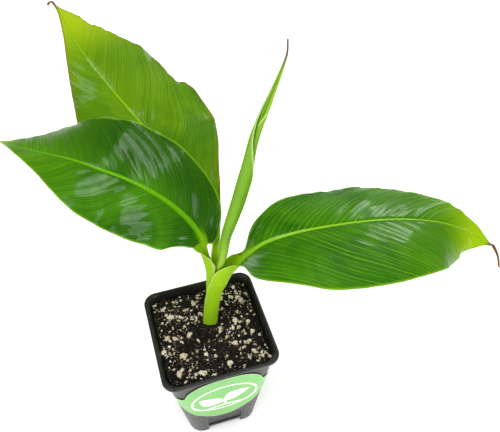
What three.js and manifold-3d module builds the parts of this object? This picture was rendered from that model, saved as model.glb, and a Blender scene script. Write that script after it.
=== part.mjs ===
// Potted banana plant: a young banana in a square nursery pot.
// Millimetres, +Z up, the origin at the middle of the pot's underside, the label facing -Y.
import * as THREE from 'three';
import { mergeVertices } from 'three/addons/utils/BufferGeometryUtils.js';
import Module from 'manifold-3d';

const wasm = await Module();
wasm.setup();

// ---- driving dimensions ----
const POT_HEIGHT = 93.4;
const RIM_SIDE = 73;
const RIM_CORNER = 8.3;
const RIM_FLANGE = 2.2;
const RIM_DEPTH = 2.4;
const BASE_SIDE = 47.6;
const BASE_CORNER = 9.4;
const WALL = 0.9;
const FLOOR = 1.2;
const NOTCH_WIDTH = 23;
const NOTCH_DEPTH = 5;
const NOTCH_HEIGHT = 5.6;
const PANEL_RECESS = 0.8;
const PANEL_BOTTOM = 9;
const PANEL_TOP = 23;
const DRAIN_LENGTH = 11;
const DRAIN_WIDTH = 2.4;
const CLEARANCE = 0.3;
const LABEL_THICKNESS = 0.3;
const SOIL_DROP = 6.4;
const SPEAR_STEM_RADIUS = 1.6;
const BACK_SHEATH = 0.6;
const LEFT_SHEATH = 0.7;
const RIGHT_SHEATH = 0.9;
const STEM_BURIED = 5;

// ---- sizes that follow from them ----
const SOIL_LEVEL = POT_HEIGHT - SOIL_DROP;
const WALL_TOP_SIDE = RIM_SIDE - 2 * RIM_FLANGE;
const WALL_TOP_CORNER = RIM_CORNER + 0.8;
const BACK_INNER = SPEAR_STEM_RADIUS + CLEARANCE + 0.1;
const LEFT_INNER = BACK_INNER + BACK_SHEATH + CLEARANCE;
const RIGHT_INNER = LEFT_INNER + LEFT_SHEATH + CLEARANCE;
const STEM_RADIUS = RIGHT_INNER + RIGHT_SHEATH;
const ACROSS = 6;

// ---- helpers ----
const radians = THREE.MathUtils.degToRad;
const lerp = THREE.MathUtils.lerp;

function closedGeometry(points, faces) {
  const geometry = new THREE.BufferGeometry();
  const flat = points.flatMap((p) => [p.x, p.y, p.z]);
  geometry.setAttribute('position', new THREE.Float32BufferAttribute(flat, 3));
  geometry.setIndex(faces.flat());
  return geometry;
}

function toSolid(geometry) {
  const bare = geometry.clone();
  bare.deleteAttribute('normal');
  bare.deleteAttribute('uv');
  const merged = mergeVertices(bare, 1e-4);
  const mesh = new wasm.Mesh({
    numProp: 3,
    vertProperties: new Float32Array(merged.attributes.position.array),
    triVerts: new Uint32Array(merged.index.array),
  });
  return new wasm.Manifold(mesh);
}

function fromSolid(solid) {
  const mesh = solid.getMesh();
  const geometry = new THREE.BufferGeometry();
  geometry.setAttribute('position', new THREE.BufferAttribute(mesh.vertProperties, 3));
  geometry.setIndex(new THREE.BufferAttribute(mesh.triVerts, 1));
  return geometry;
}

function box(w, d, h, x, y, z, turn = 0) {
  const geometry = new THREE.BoxGeometry(w, d, h);
  geometry.translate(x, y, z);
  geometry.rotateZ(turn);
  return toSolid(geometry);
}

function surfaceMaterial(name, color, roughness, metalness = 0) {
  return new THREE.MeshStandardMaterial({ name, color, roughness, metalness });
}

const object = new THREE.Group();
object.name = 'potted_banana_plant';

function addPart(parent, name, geometry, material) {
  const shaded = geometry.clone();
  shaded.computeVertexNormals();
  const mesh = new THREE.Mesh(shaded, material);
  mesh.name = name;
  parent.add(mesh);
  return mesh;
}

const blackPlastic = surfaceMaterial('pot_plastic', 0x2e2f2c, 0.55);
const labelFilm = surfaceMaterial('label_film', 0x83cd64, 0.4);
const peat = surfaceMaterial('potting_mix', 0x1c140e, 0.95);
const perlite = surfaceMaterial('perlite', 0xd8cdb8, 0.9);
const leafMid = surfaceMaterial('leaf_green', 0x46781a, 0.35);
const leafDark = surfaceMaterial('leaf_deep_green', 0x3a6d12, 0.3);
const leafYoung = surfaceMaterial('leaf_young_green', 0x6f9a14, 0.4);
const leafPale = surfaceMaterial('leaf_pale_green', 0x90bd46, 0.45);

// ---- the pot: a tapered, thin-walled square shell ----
function squareRing(side, corner, z, segments = 4) {
  const ring = [];
  const half = side / 2 - corner;
  for (let c = 0; c < 4; c += 1) {
    const cx = (c === 0 || c === 3 ? 1 : -1) * half;
    const cy = (c < 2 ? 1 : -1) * half;
    for (let i = 0; i <= segments; i += 1) {
      const a = (c + i / segments) * Math.PI / 2;
      ring.push(new THREE.Vector3(cx + corner * Math.cos(a), cy + corner * Math.sin(a), z));
    }
  }
  return ring;
}

function loft(rings) {
  const count = rings[0].length;
  const points = rings.flat();
  const faces = [];
  for (let k = 0; k + 1 < rings.length; k += 1) {
    for (let i = 0; i < count; i += 1) {
      const a = k * count + i;
      const b = k * count + (i + 1) % count;
      faces.push([a, b, b + count], [a, b + count, a + count]);
    }
  }
  for (const last of [false, true]) {
    const ring = rings[last ? rings.length - 1 : 0];
    const centre = new THREE.Vector3();
    ring.forEach((p) => centre.addScaledVector(p, 1 / count));
    const start = last ? (rings.length - 1) * count : 0;
    points.push(centre);
    for (let i = 0; i < count; i += 1) {
      const a = start + i;
      const b = start + (i + 1) % count;
      faces.push(last ? [points.length - 1, a, b] : [points.length - 1, b, a]);
    }
  }
  return closedGeometry(points, faces);
}

const FLANGE_UNDERSIDE = POT_HEIGHT - RIM_DEPTH;
const wallSide = (z) => lerp(BASE_SIDE, WALL_TOP_SIDE, z / FLANGE_UNDERSIDE);
const wallCorner = (z) => lerp(BASE_CORNER, WALL_TOP_CORNER, z / FLANGE_UNDERSIDE);

function wallShell(inset, bottom, top) {
  const side = (z) => wallSide(z) - 2 * inset;
  const corner = (z) => wallCorner(z) - inset;
  return [squareRing(side(bottom), corner(bottom), bottom), squareRing(side(top), corner(top), top)];
}

// A notch between each pair of corner feet, and a shallow recess above it: each is taken from the
// outside of the wall, and its grown copy from the inside, so the wall keeps its thickness.
function reliefs(grow) {
  const cuts = [];
  for (let k = 0; k < 4; k += 1) {
    const turn = k * Math.PI / 2;
    const reach = 30;
    const face = BASE_SIDE / 2;
    const notchFront = face - NOTCH_DEPTH - grow;
    const notchTall = 2 * (NOTCH_HEIGHT + grow);
    cuts.push(box(NOTCH_WIDTH + 2 * grow, reach, notchTall, 0, -(notchFront + reach / 2), 0, turn));
    const lean = Math.atan2((WALL_TOP_SIDE - BASE_SIDE) / 2, FLANGE_UNDERSIDE);
    const slabHeight = PANEL_TOP - PANEL_BOTTOM + 2 * grow;
    const slab = new THREE.BoxGeometry(NOTCH_WIDTH + 2 * grow, reach, slabHeight);
    slab.translate(0, -(reach / 2 - PANEL_RECESS - grow), (PANEL_BOTTOM + PANEL_TOP) / 2);
    slab.rotateX(lean);
    slab.translate(0, -face, 0);
    slab.rotateZ(turn);
    cuts.push(toSolid(slab));
  }
  return cuts;
}

let potOutside = toSolid(loft([
  squareRing(BASE_SIDE - 1.2, BASE_CORNER - 0.6, 0),
  squareRing(wallSide(0.8), wallCorner(0.8), 0.8),
  ...wallShell(0, 1, FLANGE_UNDERSIDE).slice(1),
  squareRing(RIM_SIDE - 0.4, RIM_CORNER - 0.2, FLANGE_UNDERSIDE + 0.1),
  squareRing(RIM_SIDE, RIM_CORNER, FLANGE_UNDERSIDE + 0.7),
  squareRing(RIM_SIDE, RIM_CORNER, POT_HEIGHT - 0.7),
  squareRing(RIM_SIDE - 1.2, RIM_CORNER - 0.6, POT_HEIGHT),
]));
reliefs(0).forEach((cut) => { potOutside = potOutside.subtract(cut); });

function potInside(gap) {
  let inside = toSolid(loft([
    ...wallShell(WALL + gap, FLOOR + gap, FLANGE_UNDERSIDE + 0.4),
    squareRing(WALL_TOP_SIDE + 0.4 - 2 * gap, WALL_TOP_CORNER - gap, POT_HEIGHT - 0.2),
    squareRing(WALL_TOP_SIDE + 1.4 - 2 * gap, WALL_TOP_CORNER - gap, POT_HEIGHT + 4),
  ]));
  reliefs(WALL + gap).forEach((cut) => { inside = inside.subtract(cut); });
  return inside;
}

let pot = potOutside.subtract(potInside(0));
for (let k = 0; k < 4; k += 1) {
  const slotY = -(BASE_SIDE / 2 - NOTCH_DEPTH / 2 - 0.2);
  pot = pot.subtract(box(DRAIN_LENGTH, DRAIN_WIDTH, 8, 0, slotY, NOTCH_HEIGHT, k * Math.PI / 2));
}
addPart(object, 'nursery_pot', fromSolid(pot), blackPlastic);

// ---- sheets with two skins: a grid of points on one face and its offset grid on the other ----
function sheet(inner, outer) {
  const rows = inner.length;
  const cols = inner[0].length;
  const points = [...inner.flat(), ...outer.flat()];
  const faces = [];
  const at = (skin, i, j) => skin * rows * cols + i * cols + j;
  const quad = (a, b, c, d) => faces.push([a, b, c], [a, c, d]);
  for (let i = 0; i + 1 < rows; i += 1) {
    for (let j = 0; j + 1 < cols; j += 1) {
      quad(at(0, i, j), at(0, i, j + 1), at(0, i + 1, j + 1), at(0, i + 1, j));
      quad(at(1, i, j), at(1, i + 1, j), at(1, i + 1, j + 1), at(1, i, j + 1));
    }
    quad(at(0, i, 0), at(0, i + 1, 0), at(1, i + 1, 0), at(1, i, 0));
    quad(at(0, i + 1, cols - 1), at(0, i, cols - 1), at(1, i, cols - 1), at(1, i + 1, cols - 1));
  }
  for (let j = 0; j + 1 < cols; j += 1) {
    quad(at(0, 0, j + 1), at(0, 0, j), at(1, 0, j), at(1, 0, j + 1));
    quad(at(0, rows - 1, j), at(0, rows - 1, j + 1), at(1, rows - 1, j + 1), at(1, rows - 1, j));
  }
  return closedGeometry(points, faces);
}

// ---- the label: thin film over the front wall and round both front corners ----
const LABEL_WRAP = 55;
const LABEL_COLUMNS = [-1, -0.8, -0.6, -0.4, -0.2, 0, 0.2, 0.4, 0.6, 0.8, 1];
const labelTop = (f) => SOIL_LEVEL - 0.8 - 9.5 * Math.min(1.2, Math.abs(f)) ** 3;
const labelBottom = (f) => 25.5 + 12 * Math.min(1.6, Math.abs(f)) ** 2.2;

function labelPoint(f, z, offset) {
  const half = wallSide(z) / 2 - wallCorner(z);
  const over = Math.max(0, Math.abs(f) - 1) * 90;
  const turn = radians(over);
  const reach = wallCorner(z) + offset;
  const x = Math.min(1, Math.abs(f)) * half + reach * Math.sin(turn);
  return new THREE.Vector3(Math.sign(f) * x, -half - reach * Math.cos(turn), z);
}

const cornerColumns = [1.25, 1.5, 1 + LABEL_WRAP / 90];
const labelColumns = [...cornerColumns.map((f) => -f).reverse(), ...LABEL_COLUMNS, ...cornerColumns];
const labelSkins = [CLEARANCE, CLEARANCE + LABEL_THICKNESS].map((offset) => {
  const rows = [];
  for (let i = 0; i <= 3; i += 1) {
    rows.push(labelColumns.map((f) => labelPoint(f, lerp(labelBottom(f), labelTop(f), i / 3), offset)));
  }
  return rows;
});
addPart(object, 'label', sheet(labelSkins[1], labelSkins[0]), labelFilm);

// ---- the stem line: a slight lean toward +X ----
const STEM_FOOT = new THREE.Vector3(2.2, 8, SOIL_LEVEL);
const STEM_LEAN = new THREE.Vector3(6.6, 0, 60).normalize();
const stemAt = (z) => STEM_FOOT.clone().addScaledVector(STEM_LEAN, z / STEM_LEAN.z);

// ---- the potting mix: fills the pot, lumpy on top, a little mounded round the stem ----
function soilHeight(x, y) {
  const fromStem = Math.hypot(x - STEM_FOOT.x, y - STEM_FOOT.y);
  const mound = 1.3 * Math.exp(-((fromStem / 9) ** 2));
  const broad = 0.5 * Math.sin(0.31 * x + 0.9) * Math.cos(0.27 * y - 0.4);
  const lumps = broad + 0.35 * Math.sin(0.53 * y + 0.21 * x);
  const rim = Math.max(Math.abs(x), Math.abs(y)) / (WALL_TOP_SIDE / 2);
  return SOIL_LEVEL - 0.8 + mound + lumps + 3.2 * rim ** 3;
}

function soilTop() {
  const cells = 18;
  const reach = WALL_TOP_SIDE / 2 + 1;
  const upper = [];
  const lower = [];
  for (let i = 0; i <= cells; i += 1) {
    const y = lerp(-reach, reach, i / cells);
    const xs = Array.from({ length: cells + 1 }, (_, j) => lerp(-reach, reach, j / cells));
    upper.push(xs.map((x) => new THREE.Vector3(x, y, soilHeight(x, y))));
    lower.push(xs.map((x) => new THREE.Vector3(x, y, -2)));
  }
  return toSolid(sheet(upper, lower));
}

let soil = potInside(CLEARANCE).intersect(soilTop());
const holeRadius = STEM_RADIUS + CLEARANCE;
const hole = new THREE.CylinderGeometry(holeRadius, holeRadius, 30, 24);
hole.rotateX(Math.PI / 2);
hole.translate(0, 0, 15 - STEM_BURIED - CLEARANCE);
hole.applyQuaternion(new THREE.Quaternion().setFromUnitVectors(new THREE.Vector3(0, 0, 1), STEM_LEAN));
hole.translate(STEM_FOOT.x, STEM_FOOT.y, STEM_FOOT.z);
soil = soil.subtract(toSolid(hole));

// ---- the larger perlite granules, half sunk in the mix ----
const GRANULES = [
  [-25, -24, 2.1], [-12, -27, 1.8], [6, -26, 2.0], [23, -22, 1.9], [-20, -12, 2.2], [-6, -15, 1.7],
  [13, -13, 2.1], [26, -8, 1.8], [-27, 3, 1.9], [-13, 2, 2.1], [18, 4, 2.0], [-22, 18, 2.2],
  [-5, 24, 1.9], [13, 23, 2.1], [26, 17, 1.8], [-9, -4, 1.6],
];

function granule(radius, seed, grow) {
  const geometry = new THREE.IcosahedronGeometry(1, 1);
  const position = geometry.attributes.position;
  const p = new THREE.Vector3();
  for (let i = 0; i < position.count; i += 1) {
    p.fromBufferAttribute(position, i).normalize();
    const bumps = 0.14 * Math.sin(3.1 * p.x + 1.7 * seed) + 0.12 * Math.cos(2.7 * p.y - 1.1 * seed);
    const size = radius * (0.94 + bumps + 0.08 * Math.sin(4.3 * p.z + seed)) + grow;
    position.setXYZ(i, 1.08 * size * p.x, 0.96 * size * p.y, 0.84 * size * p.z);
  }
  geometry.rotateZ(1.3 * seed);
  return geometry;
}

GRANULES.forEach(([x, y, radius], i) => {
  const place = new THREE.Vector3(x, y, soilHeight(x, y) + 0.25 * radius);
  const pocket = granule(radius, i, CLEARANCE);
  pocket.translate(place.x, place.y, place.z);
  soil = soil.subtract(toSolid(pocket));
  const stone = toSolid(granule(radius, i, 0));
  const name = 'perlite_granule_' + String(i + 1).padStart(2, '0');
  const mesh = addPart(object, name, fromSolid(stone), perlite);
  mesh.position.copy(place);
});
addPart(object, 'potting_mix', fromSolid(soil), peat);

// ---- leaves: each is one loft of sheath, petiole and blade along its own midline ----
// A row is x, y, z (z from the soil line), half widths on the two sides, their start angles and
// bends, the roll, and the thickness at the midrib and at the margin.
// A sheath station is z, how far its back has moved out, and how far each side wraps round.
function sheathRows(azimuth, inner, thickness, stations) {
  const outward = new THREE.Vector3(Math.cos(radians(azimuth)), Math.sin(radians(azimuth)), 0);
  outward.addScaledVector(STEM_LEAN, -outward.dot(STEM_LEAN)).normalize();
  return stations.map(([z, moved, plus, minus]) => {
    const radius = inner + moved * 0.6;
    const c = stemAt(z).addScaledVector(outward, inner + moved);
    const widths = [radius * radians(plus), radius * radians(minus)];
    return [c.x, c.y, c.z - SOIL_LEVEL, ...widths, 0, 0, plus, minus, 0, thickness, thickness * 0.8];
  });
}

function smoothRows(rows, firstSmooth) {
  const out = rows.slice(0, firstSmooth);
  for (let i = firstSmooth; i < rows.length; i += 1) {
    out.push(rows[i]);
    if (i + 1 < rows.length) {
      const before = rows[i - 1];
      const after = rows[Math.min(rows.length - 1, i + 2)];
      const next = rows[i + 1];
      out.push(rows[i].map((v, k) => (9 * (v + next[k]) - before[k] - after[k]) / 16));
    }
  }
  return out;
}

function sectionPoint(width, bend, start, l) {
  const k = radians(bend) / width;
  const a = radians(start);
  if (Math.abs(k) < 1e-5) {
    return [l * Math.cos(a), l * Math.sin(a), a];
  }
  return [(Math.sin(a + k * l) - Math.sin(a)) / k, (Math.cos(a) - Math.cos(a + k * l)) / k, a + k * l];
}

function leafGeometry(rows, azimuth) {
  const a = radians(azimuth);
  const lean = STEM_LEAN.clone().sub(new THREE.Vector3(Math.cos(a), Math.sin(a), 0));
  const centres = rows.map((r) => new THREE.Vector3(r[0], r[1], r[2] + SOIL_LEVEL));
  const upper = [];
  const under = [];
  rows.forEach((row, i) => {
    const before = centres[Math.max(i - 1, 0)];
    const along = centres[Math.min(i + 1, rows.length - 1)].clone().sub(before).normalize();
    const normal = lean.clone().addScaledVector(along, -lean.dot(along)).normalize();
    const side = along.clone().cross(normal);
    const roll = radians(row[9]);
    const b = side.clone().multiplyScalar(Math.cos(roll)).addScaledVector(normal, Math.sin(roll));
    const n = normal.clone().multiplyScalar(Math.cos(roll)).addScaledVector(side, -Math.sin(roll));
    const topLine = [];
    const underLine = [];
    for (let j = -ACROSS; j <= ACROSS; j += 1) {
      const sign = j < 0 ? -1 : 1;
      const width = Math.max(0.3, j < 0 ? row[4] : row[3]);
      const power = 1 + 0.6 * THREE.MathUtils.clamp((width - 12) / 15, 0, 1);
      const l = width * (Math.abs(j) / ACROSS) ** power;
      const [out, up, turn] = sectionPoint(width, j < 0 ? row[8] : row[7], j < 0 ? row[6] : row[5], l);
      const point = centres[i].clone().addScaledVector(b, sign * out).addScaledVector(n, up);
      const slope = j === 0 ? 0 : turn;
      const skin = n.clone().multiplyScalar(Math.cos(slope)).addScaledVector(b, -sign * Math.sin(slope));
      const ribShare = Math.exp(-((l / Math.max(2.2, 0.35 * Math.min(width, 12))) ** 2));
      topLine.push(point);
      underLine.push(point.clone().addScaledVector(skin, -lerp(row[11], row[10], ribShare)));
    }
    upper.push(topLine);
    under.push(underLine);
  });
  return sheet(upper, under);
}

const LEFT_AZIMUTH = 141;
const leftRows = [
  ...sheathRows(LEFT_AZIMUTH, LEFT_INNER, LEFT_SHEATH, [
    [-STEM_BURIED, 0, 165, 165], [16, 0, 165, 165], [28, 0.2, 130, 160], [38, 0.7, 95, 145],
    [47, 1.2, 66, 118],
  ]),
  [4.2, 11.4, 55, 3.5, 8.5, 0, 0, 50, 138, 0, 0.9, 0.45],
  [3.4, 13.8, 63, 3.2, 10, 5, 5, 45, 98, 0, 1.2, 0.4],
  [3.4, 15.8, 66.8, 3.6, 11.6, 14, 12, 45, 42, 4, 1.35, 0.4],
  [3.6, 18.2, 70.5, 12, 13.5, 32, 18, 30, 0, 10, 1.5, 0.35],
  [-0.6, 25.4, 78, 22, 25.5, 26, 20, -10, -12, 19, 1.4, 0.35],
  [-8.6, 33, 87, 27.5, 29.5, 21, 16, -17, -17, 22, 1.3, 0.35],
  [-19.1, 41.5, 94, 32, 31.5, 18, 12, -24, -24, 25, 1.2, 0.35],
  [-31, 51.3, 98, 33.5, 31.5, 15, 10, -27, -28, 26, 1.1, 0.35],
  [-44.3, 60, 101.6, 33.5, 28.8, 14, 9, -26, -29, 25, 1, 0.35],
  [-57.4, 71.8, 102, 33, 22.5, 13, 8, -25, -30, 24, 0.9, 0.35],
  [-71.6, 86.2, 98.4, 29, 13.6, 12, 8, -22, -28, 22, 0.8, 0.35],
  [-86, 103.2, 93.2, 18, 7, 10, 8, -16, -19, 16, 0.7, 0.35],
  [-97.8, 118.4, 87.9, 5, 2, 8, 8, -10, -10, 10, 0.6, 0.35],
  [-102, 124.8, 85.5, 0.6, 0.5, 8, 8, -10, -10, 10, 0.45, 0.35],
];

const RIGHT_AZIMUTH = -8;
const rightRows = [
  ...sheathRows(RIGHT_AZIMUTH, RIGHT_INNER, RIGHT_SHEATH, [
    [-STEM_BURIED, 0, 168, 168], [12, 0, 168, 160], [22, 0.3, 162, 140],
  ]),
  [11.2, 7.2, 33, 12.9, 9, 0, 0, 150, 105, 0, 0.9, 0.6],
  [14.4, 7, 40.7, 14.4, 8, 0, 0, 138, 78, 0, 0.95, 0.6],
  [17.7, 6.8, 47.6, 14, 7.6, 16, 16, 108, 62, 0, 1.1, 0.5],
  [22.3, 6.6, 53.6, 10.4, 7, 18, 18, 80, 56, 0, 1.3, 0.4],
  [28.4, 6, 61.2, 13.5, 4, 20, 24, 10, 40, 2, 1.4, 0.35],
  [37.3, 4, 69.8, 33, 17.5, 20, 20, -10, -10, 4, 1.4, 0.35],
  [47.1, 2.3, 74, 40, 25.5, 16, 17, -20, -15, 6, 1.3, 0.35],
  [61.4, 0.3, 77, 45.5, 32.5, 11, 14, -30, -22, 9, 1.2, 0.35],
  [81.4, -2.5, 78.5, 47, 36.2, 7, 11, -34, -25, 10, 1.1, 0.35],
  [102, -5.1, 78, 46, 38, 6, 10, -33, -24, 10, 1, 0.35],
  [122.6, -8, 75, 40, 33.5, 5, 9, -31, -23, 10, 0.9, 0.35],
  [141.7, -12, 70, 30.5, 22, 5, 8, -28, -21, 8, 0.8, 0.35],
  [156, -17.5, 64.2, 18, 9, 6, 8, -19, -15, 5, 0.7, 0.35],
  [163.5, -23.2, 60.5, 7, 3.5, 8, 8, -10, -10, 0, 0.6, 0.35],
  [167.6, -26.7, 58, 1.3, 1.1, 15, 15, 20, 20, 0, 0.5, 0.35],
  [171.5, -27.8, 55, 0.8, 0.8, 20, 20, 40, 40, 0, 0.5, 0.35],
  [174.6, -30, 49.5, 0.7, 0.7, 20, 20, 60, 60, 0, 0.45, 0.35],
  [176.8, -31.3, 43.5, 0.6, 0.6, 20, 20, 60, 60, 0, 0.45, 0.35],
  [178.2, -32.3, 38, 0.5, 0.5, 20, 20, 60, 60, 0, 0.4, 0.35],
];

const BACK_AZIMUTH = 115;
const backRows = [
  ...sheathRows(BACK_AZIMUTH, BACK_INNER, BACK_SHEATH, [
    [-STEM_BURIED, 0, 160, 160], [18, 0, 160, 160], [30, 0, 140, 150], [40, 0, 95, 125],
    [48, 0.2, 70, 100],
  ]),
  [8, 11.2, 56, 2.8, 3, 0, 0, 65, 75, 0, 0.7, 0.4],
  [9.8, 14, 62, 2.8, 2.8, 10, 10, 60, 60, 0, 1, 0.4],
  [12, 19.6, 67, 3, 3, 20, 20, 50, 50, 0, 1.2, 0.4],
  [14.2, 30.4, 71, 4.5, 5, 24, 24, 20, 20, 0, 1.3, 0.35],
  [10.6, 47.5, 76, 14.5, 15, 20, 5, -5, -25, 0, 1.2, 0.35],
  [2.5, 65, 84.4, 31, 28, 15, 0, -16, -35, 3, 1.1, 0.35],
  [-4.7, 80.7, 90.5, 42.4, 34, 12, 4, -22, -35, 4, 1, 0.35],
  [-10.6, 96, 94.5, 45.5, 36, 11, 4, -21, -32, 4, 0.95, 0.35],
  [-17.8, 107.8, 102.5, 41.8, 34.5, 10, 4, -21, -32, 4, 0.9, 0.35],
  [-25.4, 124.8, 107.9, 40, 28.6, 9, 1, -20, -32, 4, 0.8, 0.35],
  [-35, 143, 119.3, 34.5, 16.3, 8, 8, -18, -22, 3, 0.7, 0.35],
  [-42.7, 162.3, 128.2, 22.5, 5.9, 8, 8, -14, -16, 2, 0.6, 0.35],
  [-46.5, 178.8, 134.9, 8.8, 1.9, 8, 8, -10, -10, 0, 0.5, 0.35],
  [-48.4, 187, 137, 1.2, 1.1, 8, 8, -10, -10, 0, 0.5, 0.35],
  [-50.4, 192.8, 137.9, 0.8, 0.8, 10, 10, 20, 20, 0, 0.5, 0.35],
  [-52.3, 195.5, 136.8, 0.7, 0.7, 10, 10, 20, 20, 0, 0.45, 0.35],
  [-54.3, 197.6, 134.1, 0.6, 0.6, 10, 10, 20, 20, 0, 0.4, 0.35],
];

const smoothLeft = smoothRows(leftRows, 5);
const smoothRight = smoothRows(rightRows, 3);
const smoothBack = smoothRows(backRows, 5);
addPart(object, 'left_leaf', leafGeometry(smoothLeft, LEFT_AZIMUTH), leafDark);
addPart(object, 'right_leaf', leafGeometry(smoothRight, RIGHT_AZIMUTH), leafMid);
addPart(object, 'back_leaf', leafGeometry(smoothBack, BACK_AZIMUTH), leafYoung);

// ---- the spear: the next leaf, still rolled tight, running up the middle of the stem ----
const SPEAR_STATIONS = [
  [47, 8.1, 7.7, 1.7], [54, 10.4, 7, 2.1], [60, 12.4, 7, 2.4], [66, 14, 8.2, 2.7], [75, 16.3, 10.4, 3.1],
  [84, 19.4, 11.4, 3.5], [99, 25, 13.2, 4], [119, 30.9, 14.8, 4], [137, 34.7, 14.9, 3.4],
  [150, 37.7, 13.2, 2.8], [161, 40.6, 11.6, 2.1], [175, 43.8, 8.4, 1.3], [186, 45.4, 4.9, 0.7],
  [192, 45.7, 2.8, 0.5], [200, 44.5, -0.3, 0.4],
];

function spearGeometry() {
  const foot = [-STEM_BURIED, 18, 38].map((z) => [stemAt(z), SPEAR_STEM_RADIUS]);
  const upper = SPEAR_STATIONS.map(([z, x, y, r]) => [new THREE.Vector3(x, y, z + SOIL_LEVEL), r]);
  const line = [...foot, ...upper];
  const rings = line.map(([centre, radius], i) => {
    const before = line[Math.max(i - 1, 0)][0];
    const along = line[Math.min(i + 1, line.length - 1)][0].clone().sub(before).normalize();
    const across = new THREE.Vector3(0, 1, 0).addScaledVector(along, -along.y).normalize();
    const other = along.clone().cross(across);
    return Array.from({ length: 12 }, (_, k) => {
      const turn = k * Math.PI / 6;
      const p = centre.clone().addScaledVector(across, radius * Math.cos(turn));
      return p.addScaledVector(other, radius * Math.sin(turn));
    });
  });
  return loft(rings);
}
addPart(object, 'spear_leaf', spearGeometry(), leafPale);

export default object;
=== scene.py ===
# %% [markdown]
# # A young banana plant in a square nursery pot
# This notebook builds the plant as it looks. The measured model comes first: it gives the size and
# the place of every part, and each finer piece below stands in for one of its nodes. Lengths in the
# tables are millimetres, because leaves and pots are measured that way; `MM` turns them to metres.

# %% Load the measured model
import math
import random

import bmesh
import bpy
import numpy as np
from mathutils import Matrix, Vector, noise


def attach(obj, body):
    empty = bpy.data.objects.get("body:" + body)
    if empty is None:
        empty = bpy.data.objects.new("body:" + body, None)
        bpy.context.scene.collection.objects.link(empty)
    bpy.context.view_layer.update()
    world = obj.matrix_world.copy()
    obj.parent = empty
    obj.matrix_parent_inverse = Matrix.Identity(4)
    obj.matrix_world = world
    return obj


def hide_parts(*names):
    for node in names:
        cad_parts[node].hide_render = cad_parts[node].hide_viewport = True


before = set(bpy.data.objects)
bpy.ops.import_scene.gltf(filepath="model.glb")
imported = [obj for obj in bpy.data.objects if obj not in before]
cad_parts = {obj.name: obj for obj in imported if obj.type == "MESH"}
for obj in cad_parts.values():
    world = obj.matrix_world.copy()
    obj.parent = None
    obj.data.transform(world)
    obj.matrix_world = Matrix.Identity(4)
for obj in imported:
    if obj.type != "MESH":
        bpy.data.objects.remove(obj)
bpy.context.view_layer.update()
MM = 0.001
print("nodes in the measured model:", len(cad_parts))

# %% [markdown]
# ## The camera
# The plant is seen from above and a little to its left, as when it stands on a bench. A camera is
# placed by a matrix whose columns are its right, its up and its backward direction. Giving all
# three keeps the small roll that a held camera has, which "look at" tools would remove.

# %% Place the camera
CAMERA_PLACE = Vector((-33.7, -203.3, 412.7)) * MM
CAMERA_RIGHT, CAMERA_FORWARD = Vector((0.955, -0.296, -0.007)), Vector((0.198, 0.656, -0.729))
FOCAL_LENGTH, SENSOR_WIDTH = 42.4, 36.0
view_data = bpy.data.cameras.new("bench_view")
view_data.lens = FOCAL_LENGTH
view_data.sensor_width = SENSOR_WIDTH
view_data.clip_start = 0.01
view = bpy.data.objects.new("bench_view", view_data)
bpy.context.scene.collection.objects.link(view)
right = CAMERA_RIGHT.normalized()
forward = CAMERA_FORWARD.normalized()
up = right.cross(forward)
turned = Matrix((right, up, -forward)).transposed()
view.matrix_world = Matrix.Translation(CAMERA_PLACE) @ turned.to_4x4()
bpy.context.scene.camera = view
print("camera stands", round(view.matrix_world.translation.length, 3), "m from the pot's foot")

# %% [markdown]
# ## Light and floor
# The plant stands on a pale floor in a white room with soft lamps. The main lamp hangs overhead,
# where the waxy leaves mirror it as broad soft streaks. A small one far to the right makes the
# streak on the right leaf, and two weak ones model the pot and the stem. The room is pure white to
# the camera, a little dimmer as a light, and turned far down in reflections, as black cards do in a
# studio, so that deep colours stay deep.

# %% Build the studio
ROOM_LIGHT, ROOM_REFLECTED = 0.84, 0.065
bpy.context.scene.view_settings.view_transform = "Standard"
world = bpy.data.worlds.new("white_room")
bpy.context.scene.world = world
world.use_nodes = True
world.node_tree.nodes["Background"].inputs["Color"].default_value = (1.0, 1.0, 1.0, 1.0)
room = world.node_tree
rays = room.nodes.new("ShaderNodeLightPath")
fade = room.nodes.new("ShaderNodeMapRange")
fade.inputs["To Min"].default_value = ROOM_LIGHT
fade.inputs["To Max"].default_value = ROOM_REFLECTED
backdrop = room.nodes.new("ShaderNodeMath")
backdrop.operation = "MAXIMUM"
room.links.new(rays.outputs["Is Glossy Ray"], fade.inputs["Value"])
room.links.new(fade.outputs["Result"], backdrop.inputs[0])
room.links.new(rays.outputs["Is Camera Ray"], backdrop.inputs[1])
room.links.new(backdrop.outputs[0], room.nodes["Background"].inputs["Strength"])


def lamp(name, place, target, width, height, power):
    """A rectangular soft lamp at a place, turned to a target."""
    data = bpy.data.lights.new(name, "AREA")
    data.shape = "RECTANGLE"
    data.size = width
    data.size_y = height
    data.energy = power
    made = bpy.data.objects.new(name, data)
    made.location = place
    made.rotation_euler = (Vector(target) - Vector(place)).to_track_quat("-Z", "Y").to_euler()
    bpy.context.scene.collection.objects.link(made)


lamp("lamp_overhead", (-0.11, -0.08, 0.97), (-0.025, 0.045, 0.18), 0.5, 0.36, 3.0)
lamp("lamp_far_right", (0.64, 0.60, 0.60), (0.10, -0.02, 0.167), 0.32, 0.26, 2.2)
lamp("lamp_left", (-0.9, -0.35, 0.9), (0.0, 0.0, 0.1), 0.6, 0.6, 3.4)
lamp("lamp_front", (0.5, -0.75, 0.55), (0.03, 0.0, 0.1), 0.5, 0.4, 2.0)

# %% [markdown]
# ## Node helpers
# A material is a graph of small steps. Writing each step as one call keeps the graph readable: a
# step's inputs are given by name, and an input can be a number, a colour or another step's output.

# %% Helpers that write shader nodes


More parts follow.
